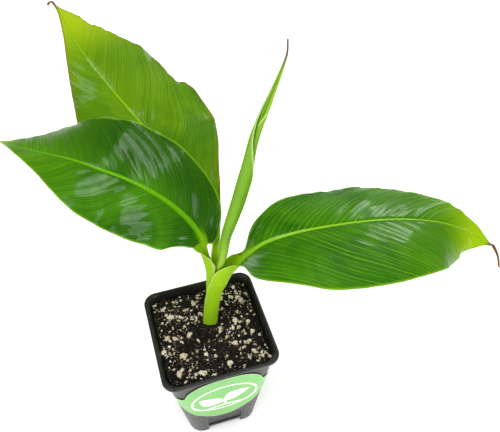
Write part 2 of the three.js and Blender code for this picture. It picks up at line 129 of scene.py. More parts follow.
def add(tree, kind, inputs=None, **settings):
    """Add a node, set its options, and fill or link its inputs."""
    made = tree.nodes.new(kind)
    made.location = (190 * (len(tree.nodes) % 9), -230 * (len(tree.nodes) // 9))
    for name, value in settings.items():
        setattr(made, name, value)
    for key, value in (inputs or {}).items():
        if isinstance(value, bpy.types.NodeSocket):
            tree.links.new(value, made.inputs[key])
        else:
            made.inputs[key].default_value = value
    return made


def maths(tree, operation, a, b=0.0, clamp=False):
    return add(tree, "ShaderNodeMath", {0: a, 1: b}, operation=operation, use_clamp=clamp).outputs[0]


def step(tree, value, low, high, out_low=0.0, out_high=1.0):
    """A smooth change from out_low to out_high while the value goes from low to high."""
    made = add(tree, "ShaderNodeMapRange", {
        "Value": value, "From Min": low, "From Max": high, "To Min": out_low, "To Max": out_high,
    }, interpolation_type="SMOOTHSTEP")
    return made.outputs["Result"]


def blend(tree, amount, a, b):
    return add(tree, "ShaderNodeMix", {0: amount, 6: a, 7: b}, data_type="RGBA").outputs[2]


def over(tree, base, mask, share, tone):
    """The base with a tone laid over it where the mask is, at a share of its full strength."""
    return blend(tree, maths(tree, "MULTIPLY", mask, share), base, tone)


def fractal(tree, where, scale, detail=4.0, roughness=0.55, distortion=0.0):
    made = add(tree, "ShaderNodeTexNoise", {
        "Vector": where, "Scale": scale, "Detail": detail, "Roughness": roughness,
        "Distortion": distortion,
    })
    return made.outputs["Fac"]


def colour(red, green, blue):
    """A screen colour, 0 to 255, as the linear colour that a shader works in."""
    def linear(v):
        v /= 255.0
        return v / 12.92 if v <= 0.04045 else ((v + 0.055) / 1.055) ** 2.4
    return (linear(red), linear(green), linear(blue), 1.0)


print("a mid green in shader units:", [round(v, 3) for v in colour(70, 120, 12)])

# %% [markdown]
# ## Shared effects
# Several finishes here need the same effects, so each effect is one node group with named sockets.
# *Fleck* scatters small dots, for freckles on a stem and for dust on plastic. *Mottle* is slow
# uneven colour, as every grown or printed surface has. *Lateral veins* draws the fine ribs that run
# from a banana leaf's midrib to its margin, along a coordinate stored in the leaf's own mesh.

# %% Helper for node groups


def group(name, inputs, outputs):
    """An empty node group with float or vector inputs and outputs, and its two end nodes."""
    tree = bpy.data.node_groups.new(name, "ShaderNodeTree")
    for label, default in inputs.items():
        vector = default is None
        kind = "NodeSocketVector" if vector else "NodeSocketFloat"
        socket = tree.interface.new_socket(label, in_out="INPUT", socket_type=kind)
        if not vector:
            socket.default_value = default
    for label in outputs:
        tree.interface.new_socket(label, in_out="OUTPUT", socket_type="NodeSocketFloat")
    start = tree.nodes.new("NodeGroupInput")
    end = tree.nodes.new("NodeGroupOutput")
    return tree, start.outputs, end.inputs


def place_group(tree, effect, inputs):
    return add(tree, "ShaderNodeGroup", inputs, node_tree=effect).outputs


# %% Fleck and mottle
fleck, given, result = group("fleck", {"Where": None, "Scale": 900.0, "Size": 0.18, "Share": 0.3}, ["Mask"])
cells = add(fleck, "ShaderNodeTexVoronoi", {"Vector": given["Where"], "Scale": given["Scale"]})
chance = add(fleck, "ShaderNodeSeparateColor", {"Color": cells.outputs["Color"]})
chosen = maths(fleck, "LESS_THAN", chance.outputs["Red"], given["Share"])
dot = maths(fleck, "SUBTRACT", given["Size"], cells.outputs["Distance"])
soft_dot = maths(fleck, "MULTIPLY", dot, 14.0, clamp=True)
fleck.links.new(maths(fleck, "MULTIPLY", soft_dot, chosen), result["Mask"])

mottle, given, result = group("mottle", {"Where": None, "Scale": 60.0, "Contrast": 2.2}, ["Mask", "Fine"])
slow = fractal(mottle, given["Where"], given["Scale"], 3.0, 0.6, 0.6)
quick = fractal(mottle, given["Where"], maths(mottle, "MULTIPLY", given["Scale"], 9.0), 3.0, 0.6)
centred = maths(mottle, "SUBTRACT", slow, 0.5)
spread = maths(mottle, "MULTIPLY", centred, given["Contrast"])
mottle.links.new(maths(mottle, "ADD", spread, 0.5, clamp=True), result["Mask"])
mottle.links.new(quick, result["Fine"])
print("shared effects so far:", [g.name for g in bpy.data.node_groups])

# %% Lateral veins
veins, given, result = group(
    "lateral_veins", {"Vein": 0.0, "Side": 0.0, "Spacing": 2.3},
    ["Line", "Streak", "Height", "Band"])
ordered = maths(veins, "DIVIDE", given["Vein"], given["Spacing"])
drift = add(veins, "ShaderNodeCombineXYZ", {"X": maths(veins, "MULTIPLY", ordered, 0.31), "Y": given["Side"]})
wander = maths(veins, "MULTIPLY", fractal(veins, drift.outputs[0], 1.0, 2.0), 1.6)
phase = maths(veins, "FRACT", maths(veins, "ADD", ordered, wander))
ridge = maths(veins, "ABSOLUTE", maths(veins, "SUBTRACT", phase, 0.5))
line = step(veins, ridge, 0.0, 0.11, 1.0, 0.0)
along = add(veins, "ShaderNodeCombineXYZ", {
    "X": given["Vein"], "Y": maths(veins, "MULTIPLY", given["Side"], 0.8), "Z": 3.0,
})
thread = fractal(veins, along.outputs[0], 2.4, 4.0, 0.75)
band = fractal(veins, along.outputs[0], 0.33, 3.0, 0.6)
strength = step(veins, band, 0.38, 0.62)
veins.links.new(step(veins, band, 0.40, 0.60), result["Band"])
veins.links.new(maths(veins, "MULTIPLY", line, strength), result["Line"])
veins.links.new(step(veins, thread, 0.34, 0.68), result["Streak"])
swell = maths(veins, "MULTIPLY", maths(veins, "COSINE", maths(veins, "MULTIPLY", phase, 2 * math.pi)), -0.5)
veins.links.new(maths(veins, "ADD", swell, thread), result["Height"])
print("sockets of the vein effect:", [s.name for s in veins.interface.items_tree])

# %% [markdown]
# ## Mesh helpers
# Every piece is made from points that code works out: rings swept along a line, or a grid of points
# with a second skin behind it, so that each piece is a closed solid as thick as the real one.

# %% Helpers that make meshes


def piece(name, points, faces, materials, stands_for=(), smooth_angle=40, picks=None):
    """A mesh object from points in millimetres, riding on the root body."""
    mesh = bpy.data.meshes.new(name)
    mesh.from_pydata((np.asarray(points, dtype=float) * MM).tolist(), [], faces)
    mesh.validate()
    made = bpy.data.objects.new(name, mesh)
    bpy.context.scene.collection.objects.link(made)
    for material in materials:
        mesh.materials.append(material)
    if picks is not None:
        mesh.polygons.foreach_set("material_index", picks)
    mesh.shade_smooth()
    mesh.set_sharp_from_angle(angle=math.radians(smooth_angle))
    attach(made, "root")
    if stands_for:
        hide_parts(*stands_for)
    return made


def store(made, name, values):
    """Keep one number for each vertex, for the material to read."""
    layer = made.data.attributes.new(name, "FLOAT", "POINT")
    layer.data.foreach_set("value", np.asarray(values, dtype=np.float32).ravel())


def read(tree, name):
    return add(tree, "ShaderNodeAttribute", attribute_name=name).outputs["Fac"]


def ring_faces(rings, count, caps=True):
    faces = []
    for k in range(rings - 1):
        for i in range(count):
            a, b = k * count + i, k * count + (i + 1) % count
            faces.append((a, b, b + count, a + count))
    if caps:
        faces.append(tuple(range(count))[::-1])
        faces.append(tuple(range((rings - 1) * count, rings * count)))
    return faces


def sheet_faces(rows, cols):
    """Faces of a closed sheet: front skin, back skin and the four edges between them."""
    def at(skin, i, j):
        return skin * rows * cols + i * cols + j
    front, back, edge = [], [], []
    for i in range(rows - 1):
        for j in range(cols - 1):
            front.append((at(0, i, j), at(0, i, j + 1), at(0, i + 1, j + 1), at(0, i + 1, j)))
            back.append((at(1, i, j), at(1, i + 1, j), at(1, i + 1, j + 1), at(1, i, j + 1)))
        edge.append((at(0, i, 0), at(0, i + 1, 0), at(1, i + 1, 0), at(1, i, 0)))
        last = cols - 1
        edge.append((at(0, i + 1, last), at(0, i, last), at(1, i, last), at(1, i + 1, last)))
    for j in range(cols - 1):
        edge.append((at(0, 0, j + 1), at(0, 0, j), at(1, 0, j), at(1, 0, j + 1)))
        last = rows - 1
        edge.append((at(0, last, j), at(0, last, j + 1), at(1, last, j + 1), at(1, last, j)))
    return front, back, edge


def shifted(faces, start):
    """The same faces, counted from a later first point."""
    return [tuple(start + v for v in face) for face in faces]


def limit(value):
    """The value, kept between 0 and 1."""
    return min(1.0, max(0.0, value))


def curve_through(rows, parts):
    """More rows between the given ones, on a smooth curve that passes through them all."""
    rows = np.asarray(rows, dtype=float)
    out = []
    for i in range(len(rows) - 1):
        before, here = rows[max(i - 1, 0)], rows[i]
        there, after = rows[i + 1], rows[min(i + 2, len(rows) - 1)]
        for k in range(parts):
            t = k / parts
            out.append(0.5 * (2 * here + (there - before) * t
                       + (2 * before - 5 * here + 4 * there - after) * t * t
                       + (3 * here - before - 3 * there + after) * t ** 3))
    out.append(rows[-1])
    return np.array(out)


def new_material(name, **constants):
    """A material with a Principled shader, whose unchanging sockets are set on the shader."""
    material = bpy.data.materials.new(name)
    material.use_nodes = True
    tree = material.node_tree
    shader = tree.nodes["Principled BSDF"]
    for key, value in constants.items():
        shader.inputs[key.replace("_", " ")].default_value = value
    return material, tree, shader


def finish(tree, shader, base, roughness=None, height=None, distance=0.0002, strength=1.0):
    """Join colour, roughness and bump to the shader."""
    tree.links.new(base, shader.inputs["Base Color"])
    if roughness is not None:
        tree.links.new(roughness, shader.inputs["Roughness"])
    if height is not None:
        bump = add(tree, "ShaderNodeBump", {"Height": height, "Distance": distance, "Strength": strength})
        tree.links.new(bump.outputs["Normal"], shader.inputs["Normal"])


def object_place(tree):
    return add(tree, "ShaderNodeTexCoord").outputs["Object"]


print("mesh helpers ready")

# %% [markdown]
# ## Floor
# The floor is a wide pale sheet with the faintest tooth, like painted board. It glows a little, so
# that it stays white far from the lamps. It is staging, not part of the plant.

# %% Lay the floor
floor_paint, tree, shader = new_material(
    "studio_board", Specular_IOR_Level=0.15, Emission_Color=(1.0, 1.0, 1.0, 1.0), Emission_Strength=0.24)
where = object_place(tree)
tooth = fractal(tree, where, 260.0, 3.0)
finish(tree, shader, blend(tree, step(tree, tooth, 0.3, 0.7), colour(249, 249, 248), colour(252, 252, 251)),
       step(tree, tooth, 0.3, 0.7, 0.75, 0.9), tooth, 0.00004)
floor_mesh = bpy.data.meshes.new("studio_floor")
FLOOR_REACH, FLOOR_DROP = 12.0, -0.0003
corners = [(x * FLOOR_REACH, y * FLOOR_REACH, FLOOR_DROP) for x, y in ((-1, -1), (1, -1), (1, 1), (-1, 1))]
floor_mesh.from_pydata(corners, [], [(0, 1, 2, 3)])
floor = bpy.data.objects.new("studio_floor", floor_mesh)
bpy.context.scene.collection.objects.link(floor)
floor_mesh.materials.append(floor_paint)
print("floor reaches", FLOOR_REACH, "m each way")

# %% [markdown]
# ## Pot plastic
# Nursery pots are moulded from black polypropylene, often recycled. The surface is satin, a
# little wavy from cooling, and it carries scuffs from stacking and pale dust from the potting
# bench. The dust comes from the shared fleck effect, the unevenness from mottle.

# %% Make the pot plastic
pot_plastic, tree, shader = new_material("pot_plastic_black", Specular_IOR_Level=0.55)
where = object_place(tree)
uneven = place_group(tree, mottle, {"Where": where, "Scale": 70.0, "Contrast": 2.0})
dust = place_group(tree, fleck, {"Where": where, "Scale": 700.0, "Size": 0.2, "Share": 0.16})
stretched = add(tree, "ShaderNodeMapping", {"Vector": where, "Scale": (1.0, 1.0, 0.12)}).outputs[0]
scuffs = step(tree, fractal(tree, stretched, 900.0, 5.0, 0.8), 0.62, 0.8)
height_up = add(tree, "ShaderNodeSeparateXYZ", {"Vector": where}).outputs["Z"]
# Painted highlight: the top of the rolled lip, picked by height alone, is painted lighter towards (48, 50,
# 46), as if it caught the lamps.
lip_painted_highlight = step(tree, height_up, 0.0915, 0.0936)
base = blend(tree, uneven["Mask"], colour(11, 12, 11), colour(23, 24, 22))
base = over(tree, base, lip_painted_highlight, 0.3, colour(48, 50, 46))
base = over(tree, base, scuffs, 0.3, colour(88, 87, 82))
base = over(tree, base, dust["Mask"], 0.35, colour(130, 122, 108))
satin = step(tree, uneven["Fine"], 0.3, 0.7, 0.32, 0.5)
satin = maths(tree, "ADD", satin, maths(tree, "MULTIPLY", scuffs, 0.2))
finish(tree, shader, base, satin, maths(tree, "ADD", uneven["Fine"], uneven["Mask"]), 0.00012, 0.6)
print("pot plastic nodes:", len(tree.nodes))

# %% [markdown]
# ## Pot
# The pot is a thin tapered shell with a stiff lip. The lip rolls outward, and the shallow panels
# press inward on both faces of the wall. Rings of a rounded square give
# the taper and the roll. The panels and the notches between the feet are cut with Boolean
# modifiers: once from the outer skin, and once, grown by the wall, kept out of the inner space.

# %% Pot sizes and rings
POT_HEIGHT, RIM_SIDE, RIM_CORNER, RIM_DEPTH = 93.4, 73.0, 8.3, 2.4
BASE_SIDE, BASE_CORNER, WALL_TOP_SIDE, WALL_TOP_CORNER = 47.6, 9.4, 68.6, 9.1
WALL, POT_FLOOR = 0.9, 1.2
FLANGE_UNDERSIDE = POT_HEIGHT - RIM_DEPTH


def wall_side(z):
    return BASE_SIDE + (WALL_TOP_SIDE - BASE_SIDE) * z / FLANGE_UNDERSIDE


def wall_corner(z):
    return BASE_CORNER + (WALL_TOP_CORNER - BASE_CORNER) * z / FLANGE_UNDERSIDE


def square_ring(side, corner, z, segments=14):
    half = side / 2 - corner
    ring = []
    for c, (sx, sy) in enumerate(((1, 1), (-1, 1), (-1, -1), (1, -1))):
        for i in range(segments + 1):
            a = (c + i / segments) * math.pi / 2
            ring.append((sx * half + corner * math.cos(a), sy * half + corner * math.sin(a), z))
    return ring


def loft(name, rings):
    count = len(rings[0])
    return bare(name, [p for ring in rings for p in ring], ring_faces(len(rings), count))


def bare(name, points, faces):
    """A mesh object that only serves to cut or shape another."""
    mesh = bpy.data.meshes.new(name)
    mesh.from_pydata((np.asarray(points, dtype=float) * MM).tolist(), [], faces)
    made = bpy.data.objects.new(name, mesh)
    bpy.context.scene.collection.objects.link(made)
    return made


def block(width, depth, height, centre, lean=0.0, turn=0.0):
    """A box leaned about X and turned about Z, for cutting."""
    corners = [(x * width / 2, y * depth / 2, z * height / 2)
               for z in (-1, 1) for x, y in ((-1, -1), (1, -1), (1, 1), (-1, 1))]
    made = bare("cutter", corners, ring_faces(2, 4))
    spin = Matrix.Rotation(turn, 4, "Z") @ Matrix.Translation((0, -BASE_SIDE / 2 * MM, 0))
    made.data.transform(spin @ Matrix.Rotation(lean, 4, "X") @ Matrix.Translation(Vector(centre) * MM))
    return made


def cut(target, tools, operation="DIFFERENCE"):
    for tool in tools:
        change = target.modifiers.new("cut", "BOOLEAN")
        change.operation = operation
        change.object = tool
        change.solver = "EXACT"
    bake(target)
    for tool in tools:
        bpy.data.objects.remove(tool)


def bake(target):
    """Apply every modifier to the mesh."""
    graph = bpy.context.evaluated_depsgraph_get()
    graph.update()
    mesh = bpy.data.meshes.new_from_object(target.evaluated_get(graph))
    target.modifiers.clear()
    target.data = mesh


print("wall at the lip:", WALL_TOP_SIDE, "mm across, at the foot:", BASE_SIDE, "mm")

# %% Cut and join the pot
NOTCH_WIDTH, NOTCH_DEPTH, NOTCH_HEIGHT = 23.0, 5.0, 5.6
PANEL_RECESS, PANEL_BOTTOM, PANEL_TOP = 0.8, 9.0, 23.0
DRAIN_WIDTH, DRAIN_DEPTH, DRAIN_HEIGHT = 11.0, 2.4, 8.0
LIP_ROLL, EDGE_SOFTENING, CUTTER_DEPTH = 0.9, 0.25, 30.0
wall_lean = math.atan2((WALL_TOP_SIDE - BASE_SIDE) / 2, FLANGE_UNDERSIDE)


def reliefs(grow):
    """The four notches and four panels, enlarged by a wall for the inner side."""
    tools = []
    for k in range(4):
        turn = k * math.pi / 2
        width = NOTCH_WIDTH + 2 * grow
        notch_middle = (0, NOTCH_DEPTH + grow - CUTTER_DEPTH / 2, 0)
        panel_middle = (0, PANEL_RECESS + grow - CUTTER_DEPTH / 2, (PANEL_BOTTOM + PANEL_TOP) / 2)
        panel_height = PANEL_TOP - PANEL_BOTTOM + 2 * grow
        tools.append(block(width, CUTTER_DEPTH, 2 * (NOTCH_HEIGHT + grow), notch_middle, 0.0, turn))
        tools.append(block(width, CUTTER_DEPTH, panel_height, panel_middle, wall_lean, turn))
    return tools


lip = [square_ring(RIM_SIDE - 0.4, RIM_CORNER - 0.2, FLANGE_UNDERSIDE + 0.1),
       square_ring(RIM_SIDE, RIM_CORNER, FLANGE_UNDERSIDE + 0.6)]
for k in range(7):
    roll = k / 6 * math.pi / 2
    inward = LIP_ROLL * (1 - math.cos(roll))
    height = POT_HEIGHT - LIP_ROLL + LIP_ROLL * math.sin(roll)
    lip.append(square_ring(RIM_SIDE - 2 * inward, RIM_CORNER - inward, height))
outer = loft("pot_moulding", [
    square_ring(BASE_SIDE - 1.2, BASE_CORNER - 0.6, 0), square_ring(BASE_SIDE - 0.3, BASE_CORNER - 0.1, 0.3),
    square_ring(wall_side(0.8), wall_corner(0.8), 0.8),
    square_ring(WALL_TOP_SIDE, WALL_TOP_CORNER, FLANGE_UNDERSIDE), *lip,
])
cut(outer, reliefs(0.0))
inner = loft("inner_space", [
    square_ring(wall_side(POT_FLOOR) - 2 * WALL, wall_corner(POT_FLOOR) - WALL, POT_FLOOR),
    square_ring(WALL_TOP_SIDE - 2 * WALL, WALL_TOP_CORNER - WALL, FLANGE_UNDERSIDE + 0.4),
    square_ring(WALL_TOP_SIDE - 0.2, WALL_TOP_CORNER, POT_HEIGHT - 0.8),
    square_ring(WALL_TOP_SIDE + 0.7, WALL_TOP_CORNER, POT_HEIGHT - 0.15),
    square_ring(WALL_TOP_SIDE + 1.2, WALL_TOP_CORNER, POT_HEIGHT + 2),
])
cut(inner, reliefs(WALL))
drain_middle = (0, NOTCH_DEPTH / 2 + 0.2, NOTCH_HEIGHT)
drains = [block(DRAIN_WIDTH, DRAIN_DEPTH, DRAIN_HEIGHT, drain_middle, 0.0, k * math.pi / 2)
          for k in range(4)]
cut(outer, [inner, *drains])
soften = outer.modifiers.new("soften", "BEVEL")
soften.width = EDGE_SOFTENING * MM
soften.segments = 2
soften.limit_method = "ANGLE"
soften.angle_limit = math.radians(38)
bake(outer)
outer.data.shade_smooth()
outer.data.set_sharp_from_angle(angle=math.radians(32))
outer.data.materials.clear()
outer.data.materials.append(pot_plastic)
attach(outer, "root")
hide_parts("nursery_pot")
print("pot faces:", len(outer.data.polygons))

# %% [markdown]
# ## Label film
# The label is a printed plastic film. It bends round both front corners and follows the wall, so
# one grid of points on the wall's surface makes it. Printed film is smooth and slightly shiny,
# with a gentle change in tone where the ink layer is thicker, and a faint halftone grain.

# %% Make the label film
label_ink, tree, shader = new_material("label_green_film", Coat_Weight=0.5, Coat_Roughness=0.18)
where = object_place(tree)
ink = place_group(tree, mottle, {"Where": where, "Scale": 34.0, "Contrast": 1.8})
screen = place_group(tree, fleck, {"Where": where, "Scale": 2600.0, "Size": 0.28, "Share": 0.9})
edge = read(tree, "edge")
base = blend(tree, ink["Mask"], colour(74, 172, 26), colour(96, 190, 44))
base = over(tree, base, screen["Mask"], 0.10, colour(60, 150, 40))
base = blend(tree, step(tree, edge, 0.7, 0.1), base, colour(206, 232, 190))
finish(tree, shader, base, step(tree, ink["Fine"], 0.3, 0.7, 0.28, 0.42),
       maths(tree, "ADD", ink["Mask"], maths(tree, "MULTIPLY", ink["Fine"], 0.15)), 0.00012, 0.5)


LABEL_CREST, LABEL_FALL = 86.2, 9.5
LABEL_FOOT, LABEL_RISE = 25.5, 12.0
LABEL_ROWS, LABEL_COLUMNS, CORNER_WRAP = 41, 97, 55
FILM_FRONT, FILM_BACK = 0.6, 0.3


def label_top(f):
    return LABEL_CREST - LABEL_FALL * min(1.2, abs(f)) ** 3


def label_bottom(f):
    return LABEL_FOOT + LABEL_RISE * min(1.6, abs(f)) ** 2.2


def on_wall(f, z, offset):
    """A point on the front wall: f runs over the flat from -1 to 1 and on round the corners."""
    half = wall_side(z) / 2 - wall_corner(z)
    turn = math.radians(max(0.0, abs(f) - 1) * 90)
    reach = wall_corner(z) + offset
    x = min(1.0, abs(f)) * half + reach * math.sin(turn)
    return (math.copysign(x, f), -half - reach * math.cos(turn), z)


reach_round = 1 + CORNER_WRAP / 90
columns = np.linspace(-reach_round, reach_round, LABEL_COLUMNS)
skins, margins = [], []
for offset in (FILM_FRONT, FILM_BACK):
    for up_step in np.linspace(0, 1, LABEL_ROWS):
        for f in columns:
            low, high = label_bottom(f), label_top(f)
            z = low + (high - low) * up_step
            skins.append(on_wall(f, z, offset))
            margins.append(min(z - low, high - z, (reach_round - abs(f)) * 14))
front, back, edge_faces = sheet_faces(LABEL_ROWS, LABEL_COLUMNS)
label = piece("label_film_sheet", skins, front + back + edge_faces, [label_ink], ["label"])
store(label, "edge", margins)
print("label:", len(front), "cells on its front")

# %% [markdown]
# ## Label print
# The label carries a plain white picture of a seedling: two leaves on a short stalk above a line
# for the ground. It stands a hair in front of the film, as a thick screen print does. It is drawn
# here as shapes in the flat of the label and then laid on the wall.

# %% Draw the seedling print
print_ink, tree, shader = new_material("label_white_print")
where = object_place(tree)
cover = place_group(tree, mottle, {"Where": where, "Scale": 160.0, "Contrast": 2.4})
base = blend(tree, cover["Mask"], colour(232, 240, 226), colour(250, 252, 248))
base = blend(tree, step(tree, cover["Fine"], 0.66, 0.8, 0.0, 0.35), base, colour(150, 205, 120))
finish(tree, shader, base, step(tree, cover["Fine"], 0.3, 0.7, 0.35, 0.5), cover["Fine"], 0.00003)


def blade_outline(x0, z0, length, width, angle, steps=26):
    """The outline of one leaf of the drawing, from its stalk end to its tip."""
    a = math.radians(angle)
    upper, lower = [], []
    for k in range(steps + 1):
        t = k / steps
        half = width * math.sin(math.pi * t ** 0.8) ** 0.9 if 0 < t < 1 else 0.02
        lift = 0.12 * length * math.sin(math.pi * t)
        for side, line in ((1, upper), (-1, lower)):
            u, v = t * length, lift + side * half / 2
            line.append((x0 + u * math.cos(a) - v * math.sin(a), z0 + u * math.sin(a) + v * math.cos(a)))
    return upper, lower


STALK_TOP, GROUND, OVAL_MIDDLE = 51, 44, 57
OVAL_HALF_WIDTH, OVAL_HALF_HEIGHT = 22.5, 18.5
PRINT_FRONT, PRINT_BACK = 0.66, 0.58
strips = [blade_outline(0.3, STALK_TOP, 20, 11.5, 34), blade_outline(-0.3, STALK_TOP, 20, 11.5, 146)]
stalk = [(1.0 + 0.25 * math.sin(t * 3), GROUND + 9 * t) for t in np.linspace(0, 1, 9)]
strips.append((stalk, [(x - 2.0, z) for x, z in stalk]))
ground = [(x, GROUND + 1.4 * math.cos(x / 13 * math.pi / 2)) for x in np.linspace(-12.5, 12.5, 41)]
strips.append((ground, [(x, z - 2.2) for x, z in ground]))
oval = [(OVAL_HALF_WIDTH * math.cos(a), OVAL_MIDDLE + OVAL_HALF_HEIGHT * math.sin(a))
        for a in np.linspace(0, 2 * math.pi, 121)]
strips.append((oval, [(x * 0.92, OVAL_MIDDLE + (z - OVAL_MIDDLE) * 0.91) for x, z in oval]))
print_points, print_faces = [], []
for upper, lower in strips:
    start, across = len(print_points), 7
    for offset in (PRINT_FRONT, PRINT_BACK):
        for (xa, za), (xb, zb) in zip(upper, lower):
            for k in range(across):
                t = k / (across - 1)
                x, z = xa + (xb - xa) * t, za + (zb - za) * t
                print_points.append(on_wall(x / (wall_side(z) / 2 - wall_corner(z)), z, offset))
    for faces in sheet_faces(len(upper), across):
        print_faces += shifted(faces, start)
piece("label_seedling_print", print_points, print_faces, [print_ink], ())
print("print strips:", len(strips))

# %% [markdown]
# ## Potting mix
# The mix is peat and composted bark: dark crumbs of all sizes, fibres, and white perlite. Its top
# is one fine net of points laid in rings of the pot's own rounded square, so it meets the wall
# cleanly. Layered noise lifts it into clods and crumbs, and real loose crumbs and fibres are
# scattered on it, because a bumped flat net never shows the gaps between crumbs.

# %% Finish of the potting mix
peat, tree, shader = new_material("peat_and_bark", Specular_IOR_Level=0.25)
where = object_place(tree)
damp = place_group(tree, mottle, {"Where": where, "Scale": 90.0, "Contrast": 3.0})
crumb = place_group(tree, mottle, {"Where": where, "Scale": 520.0, "Contrast": 3.2})
chips = place_group(tree, fleck, {"Where": where, "Scale": 620.0, "Size": 0.34, "Share": 0.12})
sparks = place_group(tree, fleck, {"Where": where, "Scale": 1500.0, "Size": 0.26, "Share": 0.06})
base = blend(tree, crumb["Mask"], colour(8, 6, 4), colour(36, 28, 21))
base = over(tree, base, damp["Mask"], 0.45, colour(22, 18, 15))
base = over(tree, base, chips["Mask"], 0.45, colour(84, 62, 44))
base = over(tree, base, sparks["Mask"], 0.8, colour(190, 178, 156))
finish(tree, shader, base, step(tree, damp["Mask"], 0.2, 0.8, 0.95, 0.7), crumb["Fine"], 0.0003)

# %% Shape of the surface
SOIL_LEVEL, SOIL_UNDERSIDE, SOIL_GAP = 87.0, 60.0, 0.35
STEM_FOOT = Vector((2.2, 8.0, SOIL_LEVEL))
STEM_LEAN = Vector((6.6, 0.0, 60.0)).normalized()


def from_stem(x, y):
    return math.hypot(x - STEM_FOOT.x, y - STEM_FOOT.y)


def soil_height(x, y):
    """The broad shape that the measured model has too."""
    mound = 1.3 * math.exp(-(from_stem(x, y) / 9) ** 2)
    broad = 0.5 * math.sin(0.31 * x + 0.9) * math.cos(0.27 * y - 0.4)
    lumps = broad + 0.35 * math.sin(0.53 * y + 0.21 * x)
    return SOIL_LEVEL - 0.8 + mound + lumps + 3.2 * (max(abs(x), abs(y)) / (WALL_TOP_SIDE / 2)) ** 3


def crumbs(x, y):
    """Clods, crumbs and grit on top of the broad shape."""
    spot = Vector((x, y, 0.0))
    clods = noise.fractal(spot * 0.16, 0.8, 2.2, 3) * 1.2
    near = noise.voronoi(spot * 0.55 + Vector((0, 0, 2)))[0]
    lump = (near[1] - near[0]) * 1.3
    grit = noise.fractal(spot * 1.6 + Vector((5, 1, 0)), 0.7, 2.1, 4) * 0.45
    calm = limit((from_stem(x, y) - 5) / 7)
    pile = 3.0 * math.exp(-((x + 1.4) ** 2 + (y - 3.6) ** 2) / 20)
    return (clods + lump - 0.3) * (0.25 + 0.75 * calm) + grit * (0.4 + 0.6 * calm) + pile


rings, around = 110, 420
outline_ring = square_ring(2.0, 0.27, 0.0, around // 4 - 1)
points = []
half_side = wall_side(SOIL_LEVEL) / 2 - WALL - SOIL_GAP
for k in range(rings):
    reach = half_side * (0.02 + 0.98 * k / (rings - 1))
    for ox, oy, _ in outline_ring:
        x, y = ox * reach, oy * reach
        sink = 0.0 if k < rings - 1 else 0.6
        points.append((x, y, soil_height(x, y) + crumbs(x, y) - sink))
low_side = wall_side(SOIL_UNDERSIDE) / 2 - WALL - 0.5
for reach in (low_side, low_side * 0.02):
    points += [(ox * reach, oy * reach, SOIL_UNDERSIDE) for ox, oy, _ in outline_ring]
count = len(outline_ring)
piece("potting_mix_surface", points, [f[::-1] for f in ring_faces(rings + 2, count)],
      [peat], ["potting_mix"], 60)
print("potting mix points:", len(points))

# %% [markdown]
# ## Crumbs, bark and fibres
# Loose bits are small stones of uneven shape, made by pushing the points of a ball in and out with
# noise and then squashing and turning it. One helper makes them all, for peat crumbs and perlite.

# %% Scatter crumbs and fibres
random.seed(41)
CRUMB_COUNT, FIBRE_COUNT, FIBRE_RINGS, FIBRE_SIDES = 620, 120, 7, 5
ANY_TURN = 6.3


def ball(subdivisions):
    """The points and faces of a ball of triangles."""
    made = bmesh.new()
    bmesh.ops.create_icosphere(made, subdivisions=subdivisions, radius=1.0)
    shape = ([v.co.copy() for v in made.verts], [tuple(v.index for v in f.verts) for f in made.faces])
    made.free()
    return shape


speck_ball, small_ball, big_ball = ball(1), ball(2), ball(4)


def stone(shape, centre, radius, seed, squash=(1.08, 0.96, 0.84), turn=0.0, rough=0.35):
    """The points of one uneven stone."""
    out = []
    cos_t, sin_t = math.cos(turn), math.sin(turn)
    shift = Vector((seed * 3.7, seed * 1.3, -seed * 2.1))
    for p in shape[0]:
        bulge = noise.noise(p * 1.2 + shift) * 0.7
        knobs = 0.25 - abs(noise.noise(p * 1.9 + shift)) * 1.1
        pits = noise.noise(p * 7.0 + shift) * 0.16
        q = p * radius * (1 + rough * (bulge + knobs + pits))
        x, y, z = q.x * squash[0], q.y * squash[1], q.z * squash[2]
        out.append((centre[0] + x * cos_t - y * sin_t, centre[1] + x * sin_t + y * cos_t, centre[2] + z))
    return out


def on_soil(margin=2.0):
    """A random place on the mix, clear of the wall and of the stem."""
    reach = half_side - margin
    while True:
        x, y = random.uniform(-reach, reach), random.uniform(-reach, reach)
        if from_stem(x, y) > 7:
            return x, y


points, faces = [], []
for n in range(CRUMB_COUNT):
    x, y = on_soil(1.4)
    size = 0.35 + 1.0 * random.random() ** 2.4
    base_z = soil_height(x, y) + crumbs(x, y) + size * 0.25
    flat = (1.0 + random.random(), 0.8, 0.55 + 0.3 * random.random())
    start = len(points)
    points += stone(small_ball, (x, y, base_z), size, n, flat, random.uniform(0, ANY_TURN), 0.9)
    faces += shifted(small_ball[1], start)
piece("mix_crumbs", points, faces, [peat], (), 50)

